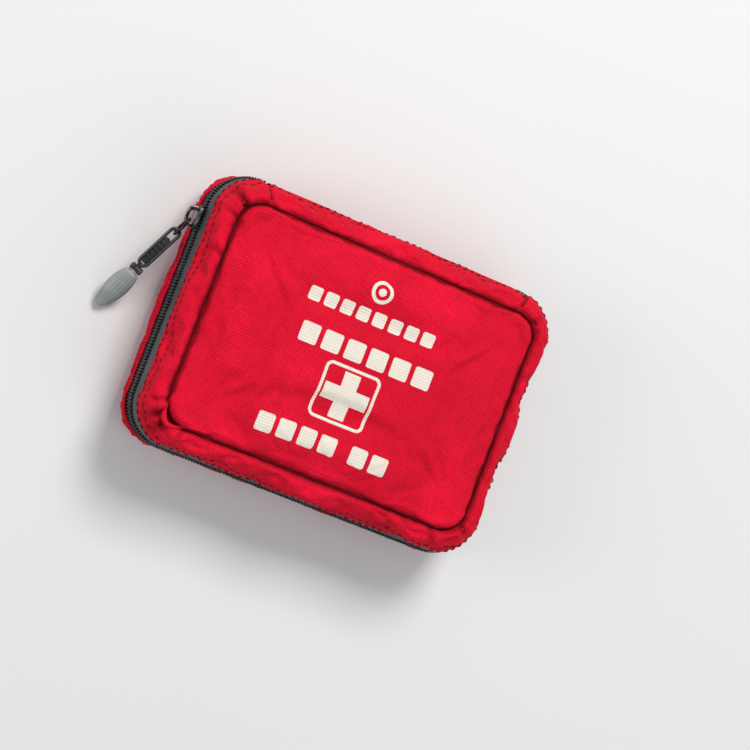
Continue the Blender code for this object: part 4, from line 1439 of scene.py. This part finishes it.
def make_gloves(film):
    """Folded gloves in a thin bag: the fingers show as soft ridges."""
    piece = pillow("gloves_bag", "gloves_packet", "front_half", "film", film, 3.0, 21.0, 0.5, 60, 60)
    low, high, middle, _ = box_of("gloves_packet")
    points = read_points(piece)
    share = (points - low) / (high - low)
    ridge = np.cos(share[:, 1] * math.tau * 4.5)
    fingers = np.clip(share[:, 0] * 2.2 - 0.7, 0.0, 1.0)
    points[:, 2] = middle[2] + (points[:, 2] - middle[2]) * (0.86 + 0.14 * ridge * fingers)
    write_points(piece, points)


PLASTERS = 5


def make_plasters(skin):
    """Stack of wrapped plasters, each a little out of line."""
    low, _, middle, half = box_of("plaster_stack")
    step = 2 * half[2] / PLASTERS
    flat = outline(half[0] - 1.0 * MM, half[1] - 0.9 * MM, 1.6 * MM)[0][::3]
    parts = []
    for number in range(PLASTERS):
        shift_x = 0.9 * MM * noise.noise(Vector((number * 1.7, 0.3, 0.0)))
        shift_y = 0.7 * MM * noise.noise(Vector((0.3, number * 2.1, 0.0)))
        origin = (middle[0], middle[1], low[2] + step * number)
        size = (0.04 * MM, step - 0.05 * MM, origin, np.eye(3), skin, 0.15 * MM)
        parts.append(plate("plaster", flat + (shift_x, shift_y), *size))
    finish_piece(joined("plaster_strips", parts), "back_half", "crepe", "plaster_stack")


PIN_CAP = ((-2.2, 2.0), (0.8, 2.3), (2.0, 1.2), (2.0, -1.2), (0.8, -2.3), (-2.2, -2.0), (-1.4, 0.0))


def make_pins(steel):
    """Closed safety pins: sprung wire with a coil at one end and a cap at the other."""
    route = [(0.80, 0.62, 0.0), (0.2, 0.66, 0.0), (-0.6, 0.62, 0.0)]
    for step in range(14):
        angle = math.radians(60.0 + 45.0 * step)
        route.append((-0.80 + 0.14 * math.cos(angle), 0.45 * math.sin(angle), -0.35 + 0.05 * step))
    route += [(-0.55, -0.60, 0.35), (0.1, -0.66, 0.2), (0.80, -0.60, 0.0)]
    for node in ("safety_pin_1", "safety_pin_2"):
        _, _, centre, half = box_of(node)
        path = smooth_curve(centre + half * route, 90)
        run = lengths(path)
        size = 0.78 * MM * np.clip((run[-1] - run) / (7 * MM), 0.35, 1.0)
        wire = bar(node + "_wire", path, size, size, steel, up=(0.02, 0.03, 1), sides=8, square=1.0)
        flat = smooth_curve(in_mm(PIN_CAP), 28, True)
        origin = centre + half * (0.82, 0.0, 0.0) - (0.4 * MM, 0, 0)
        cap = plate(node + "_cap", flat, -0.5 * MM, 0.5 * MM, origin, np.eye(3), steel)
        finish_piece(joined(node + "_bent", [wire, cap]), "back_half", "blade_steel", node)


def make_net_pocket(net, elastic, thread):
    """Knitted net across the front tray, its free edge bound in elastic."""
    low, high, middle, _ = box_of("net_pocket")
    length = high[1] + 1.5 * MM - low[1]
    x = np.linspace(low[0], high[0], 64)
    rows = []
    for share in np.linspace(0.0, 1.0, 44):
        sag = 0.22 * MM * np.sin(x * 130.0 + share * 5.0) * math.sin(math.pi * share)
        rows.append(np.column_stack([x, np.full(len(x), low[1] + length * share), middle[2] + sag]))
    piece = sheet_mesh("net_pocket_mesh", np.array(rows), net)
    finish_piece(piece, "front_half", "net", "net_pocket")
    _, _, centre, half = box_of("net_binding")
    path = np.column_stack([x, np.full(len(x), centre[1]), centre[2] + 0.12 * MM * np.sin(x * 900.0)])
    width = 2 * half[1] - 0.2 * MM
    binding = bar("net_binding_tape", path, width, 0.95 * MM, elastic, sides=16, square=0.45)
    finish_piece(binding, "front_half", "elastic", "net_binding")
    facing = np.tile((0.0, 0.0, -1.0), (len(x), 1))
    track = path - (0, 2.0 * MM, 0.48 * MM)
    row = stitch_row("net_binding_stitch", track, facing, thread, "front_half", "elastic",
                     1.8 * MM, 0.9 * MM, 0.15 * MM, False)


# Middle line of a tweezers arm as (along, away from the other arm), and its height by share, in mm
ARM_ROUTE = ((-37.8, 0.30), (-30.0, 0.55), (-15.0, 1.9), (5.0, 3.0), (20.0, 3.1), (32.0, 2.5), (38.0, 2.2))
ARM_HEIGHT = ((0.0, 0.1, 0.45, 0.8, 1.0), (2.3, 2.8, 2.8, 2.2, 1.0))


def make_tweezers(steel):
    """Sprung tweezers: two tapering arms joined at one end, slanted at the tips."""
    _, _, (_, middle_y, z), _ = box_of("tweezers")
    tall = np.interp(np.linspace(0.0, 1.0, 48), *ARM_HEIGHT) * MM
    parts = []
    for side in (-1, 1):
        path = smooth_curve([(x * MM, middle_y + side * y * MM, z) for x, y in ARM_ROUTE], 48)
        parts.append(bar("tweezers_arm", path, 0.75 * MM, tall, steel, sides=14, square=0.5))
        for number in range(6):
            station = (-2.0 + 2.2 * number) * MM
            at = np.interp(station, path[:, 0], path[:, 1]) + side * 0.38 * MM
            rib = [(station, at, z + t * MM) for t in np.linspace(-1.0, 1.0, 5)]
            parts.append(bar("tweezers_rib", rib, 0.5 * MM, 0.3 * MM, steel, up=(0, 1, 0), sides=8))
    finish_piece(joined("tweezers_sprung", parts), "front_half", "blade_steel", "tweezers")


# Outline of one blade from the pivot, then round its shank, in mm
BLADE = (
    (36, 0.3), (33.5, 1.7), (30, 2.7), (20, 3.3), (8, 3.7), (2, 3.9), (-3, 3.0), (-9, -1.2), (-17, -6.6),
    (-18.6, -8.6), (-15.4, -10.6), (-10, -7.4), (-4, -3.9), (2, -2.5), (8, -1.5), (22, -1.1), (35, -0.7),
)
# Rivet in mm, as (radius, height above its foot) and (radius, depth below its head)
RIVET_FOOT = ((0.0, 0.0), (1.2, 0.0), (1.5, 0.2))
RIVET_HEAD = ((1.5, 0.25), (1.35, 0.05), (1.1, 0.0), (0.7, 0.0), (0.55, 0.25), (0.0, 0.25))
LOOP_ROUTE = (
    (-31.2, 32.9), (-31.2, 29.6), (-30.6, 28.4), (-29.2, 28.0), (-27.4, 28.0), (-26.0, 28.4), (-25.4, 29.6),
    (-25.4, 32.9),
)


def make_scissors(steel, plastic):
    """First aid scissors: ground blades, moulded finger loops and a slotted rivet."""
    pivot = np.array(joint("scissors_pivot")["pos_m"], float) * (1, 1, 0)
    for word, body, side in (("fixed", "front_half", 1), ("moving", "scissor_arm", -1)):
        node = "scissors_blade_" + word
        low, high, _, _ = box_of(node)
        points = in_mm([(x, side * y) for x, y in BLADE[::side]])
        blade = plate(node + "_ground", points, low[2], high[2], pivot, np.eye(3), steel, 0.32 * MM, 1)
        finish_piece(blade, body, "blade_steel", node)
        node = "scissors_handle_" + word
        _, _, centre, half = box_of(node)
        angle = math.tau * np.arange(56) / 56
        round_x = 0.87 * np.cos(angle) * (1.0 + 0.06 * np.cos(3 * angle))
        loop = centre + half * np.column_stack([round_x, 0.82 * np.sin(angle), np.zeros(56)])
        tall = 2 * half[2] - 0.1 * MM
        handle = bar("handle_loop", loop, 3.3 * MM, tall, plastic, closed=True, sides=14, square=0.75)
        finish_piece(joined(node + "_moulded", [handle]), body, "handle_plastic", node)
    low, high, _, _ = box_of("scissors_rivet")
    profile = [(r * MM, low[2] + z * MM) for r, z in RIVET_FOOT]
    profile += [(r * MM, high[2] - z * MM) for r, z in RIVET_HEAD]
    rivet = turned("scissors_rivet_turned", profile, pivot, (0, 0, 1), steel, 28)
    finish_piece(rivet, "front_half", "blade_steel", "scissors_rivet")


def make_scissors_loop(elastic):
    """The elastic loop that holds the scissors in the front tray."""
    low, high, _, _ = box_of("scissors_loop")
    path = smooth_curve(in_mm([(0.0, y, z) for y, z in LOOP_ROUTE]), 40)
    rows = [path + (x, 0.0, 0.0) for x in np.linspace(low[0], high[0], 7)]
    loop = sheet_mesh("scissors_loop_elastic", np.array(rows), elastic)
    thicken(loop, 0.45 * MM, 1, 0.0)
    finish_piece(loop, "front_half", "elastic", "scissors_loop")


# ---------------------------------------------------------------- stage

PHOTO_ROLL = math.radians(22.2)
LEAN_LEFT = math.radians(19.0)
LEAN_NEAR = math.radians(4.0)
AIM_RIGHT = 7.5 * MM
AIM_DOWN = 2.0 * MM
SENSOR = 36.0
FIELD = 0.294
DISTANCE = 1.0

# Name, place, size, power and colour of each light, and the point they face
LIGHTS = (
    ("key", (0.10, 0.95, 1.20), 0.55, 21.5, (1.0, 0.98, 0.95)),
    ("fill", (0.9, -0.5, 1.0), 1.1, 4.2, (1.0, 1.0, 1.0)),
    ("rim", (-1.1, -0.2, 0.6), 0.6, 4.6, (1.0, 1.0, 1.0)),
)
LIT_AT = (0.0, 0.0, 0.02)
FLOOR_HALF = 3.0
FLOOR_COLOUR = (0.60, 0.60, 0.595)
SURROUND_COLOUR = (0.9, 0.93, 1.0, 1.0)
SURROUND_STRENGTH = 0.50


def make_camera():
    """The view that the photo has: nearly square on, from a little to the left."""
    back = Vector((-math.sin(LEAN_LEFT), -math.sin(LEAN_NEAR), 1.0)).normalized()
    up = Vector((-math.sin(PHOTO_ROLL), math.cos(PHOTO_ROLL), 0.0))
    right = up.cross(back).normalized()
    up = back.cross(right)
    target = Vector((0.0, 0.0, TOP_Z - 2.0 * MM)) + right * AIM_RIGHT - up * AIM_DOWN
    data = bpy.data.cameras.new("camera")
    data.sensor_width = SENSOR
    data.lens = SENSOR * DISTANCE / FIELD
    camera = placed("camera", data)
    turn = Matrix((right, up, back)).transposed().to_4x4()
    camera.matrix_world = Matrix.Translation(target + back * DISTANCE) @ turn
    bpy.context.scene.camera = camera


def area_light(name, at, size, power, colour):
    data = bpy.data.lights.new(name, "AREA")
    data.size = size
    data.energy = power
    data.color = colour
    lamp = placed(name, data)
    lamp.location = at
    lamp.rotation_euler = (Vector(LIT_AT) - Vector(at)).to_track_quat("-Z", "Y").to_euler()


def make_stage():
    """Pale floor, soft lights and a pale surround."""
    paint = Net("floor_paint", roughness=0.7)
    paint.set("Base Color", FLOOR_COLOUR)
    corners = [(x * FLOOR_HALF, y * FLOOR_HALF, 0.0) for x, y in ((-1, -1), (1, -1), (1, 1), (-1, 1))]
    placed("floor", face_mesh("floor", corners, [(0, 1, 2, 3)], paint.material))
    for light in LIGHTS:
        area_light(*light)
    world = bpy.data.worlds.new("surround")
    world.use_nodes = True
    colour, strength = world.node_tree.nodes["Background"].inputs[:2]
    colour.default_value = SURROUND_COLOUR
    strength.default_value = SURROUND_STRENGTH
    bpy.context.scene.world = world
    bpy.context.scene.view_settings.view_transform = "Standard"


# ---------------------------------------------------------------- build

red = ripstop("red_ripstop_cloth")
red_print = ripstop("red_ripstop_printed", ink=True)
# Red thread painted far darker than the real thread: painted shade of the stitch holes and the shadow round
# each stitch
red_thread_painted_shade = thread_material("red_thread_painted_shade", (0.075, 0.001, 0.003), (0.30, 0.006, 0.012))
grey_thread = thread_material("grey_thread", (0.035, 0.036, 0.038), (0.12, 0.12, 0.125))
tape_cloth = zip_tape_material()
coil_nylon = coil_material()

make_front_panel(red_print)
make_back_panel(red)
WALLS = (
    ("front", "front_half", "front_gusset", SEAM_Z, GUSSET_LOW + RIM_LIFT, 2.0, 1.3 * MM),
    ("back", "back_half", "back_gusset", BACK_SEAM_Z, BACK_RIM_Z - RIM_LIFT, 7.0, 0.0),
)
for half, body, node, seam_z, rim_z, seed, fold in WALLS:
    levels, facing = make_wall(half + "_wall", body, node, seam_z, rim_z, red, seed, fold)
    for row, level in enumerate(STITCH_LEVELS):
        label = "%s_topstitch_%d" % (half, row + 1)
        radius = STITCH_RADIUS[half]
        stitch_row(label, levels[level], facing[level], red_thread_painted_shade, body, "red_ripstop", radius=radius)
    for side, column in CROSS_COLUMNS.items():
        label = "%s_cross_seam_%s" % (half, side)
        path, out = levels[CROSS_FROM:, column], facing[CROSS_FROM:, column]
        sizes = (1.3 * MM, 0.5 * MM, 0.26 * MM)
        stitch_row(label, path, out, red_thread_painted_shade, body, "red_ripstop", *sizes, False)
make_piping("front_seam", "front_half", "front_piping", SEAM_Z - 2.3 * MM, red, 1.0, 3.3 * MM)
make_piping("back_seam", "back_half", "back_piping", 0.85 * MM, red, 2.0)
make_zip(tape_cloth, coil_nylon, grey_thread)
make_spine(red)

gunmetal = metal_material("slider_metal", (0.055, 0.056, 0.060), (0.24, 0.245, 0.25), 0.34)
black_wire = metal_material("ring_wire", (0.020, 0.020, 0.022), (0.085, 0.087, 0.090), 0.34)
black_plastic = plastic_material("clip_plastic", (0.008, 0.008, 0.009), (0.024, 0.024, 0.026), 0.30)
grey_rubber = plastic_material("grip_plastic", (0.15, 0.17, 0.16), (0.26, 0.285, 0.275), 0.45, 700.0)
make_slider(gunmetal)
make_ring(black_wire)
make_clip(black_plastic)
make_barrel(black_plastic)
make_grip(grey_rubber)
make_stops(gunmetal)

elastic = elastic_material()
steel = brushed_material()
crepe = cotton_material("crepe", (0.34, 0.27, 0.18), (0.64, 0.56, 0.43), 0.9 * MM)
cotton = cotton_material("white_cotton", (0.42, 0.42, 0.40), (0.68, 0.68, 0.66), 0.6 * MM)
core = plastic_material("tape_core", (0.42, 0.48, 0.52), (0.55, 0.60, 0.63), 0.35)
paper = packet_material("leaflet_paper", (0.62, 0.63, 0.61), (0.10, 0.28, 0.20), 0.0, 0.65)
dressing = packet_material("dressing_paper", (0.60, 0.62, 0.60), (0.04, 0.15, 0.36), 0.14, 0.55)
gauze = packet_material("gauze_paper", (0.58, 0.60, 0.60), (0.03, 0.22, 0.20), 0.10, 0.55)
foil = packet_material("sachet_foil", (0.50, 0.52, 0.54), (0.04, 0.22, 0.42), 0.16, 0.25)
bandage_film = packet_material("bandage_film", (0.34, 0.50, 0.60), (0.62, 0.65, 0.66), 0.12, 0.22)
glove_film = packet_material("glove_film", (0.22, 0.42, 0.62), (0.22, 0.42, 0.62), 0.0, 0.28)
handle_plastic = plastic_material("handle_plastic", (0.010, 0.010, 0.011), (0.030, 0.030, 0.032), 0.40)
make_rolls(crepe, cotton)
make_core(core)
make_strap(elastic)
make_leaflet(paper)
make_packets(bandage_film, foil, dressing, gauze)
make_gloves(glove_film)
make_plasters(plaster_material())
make_pins(steel)
make_net_pocket(net_material(), elastic, grey_thread)
make_tweezers(steel)
make_scissors(steel, handle_plastic)
make_scissors_loop(elastic)

make_camera()
make_stage()
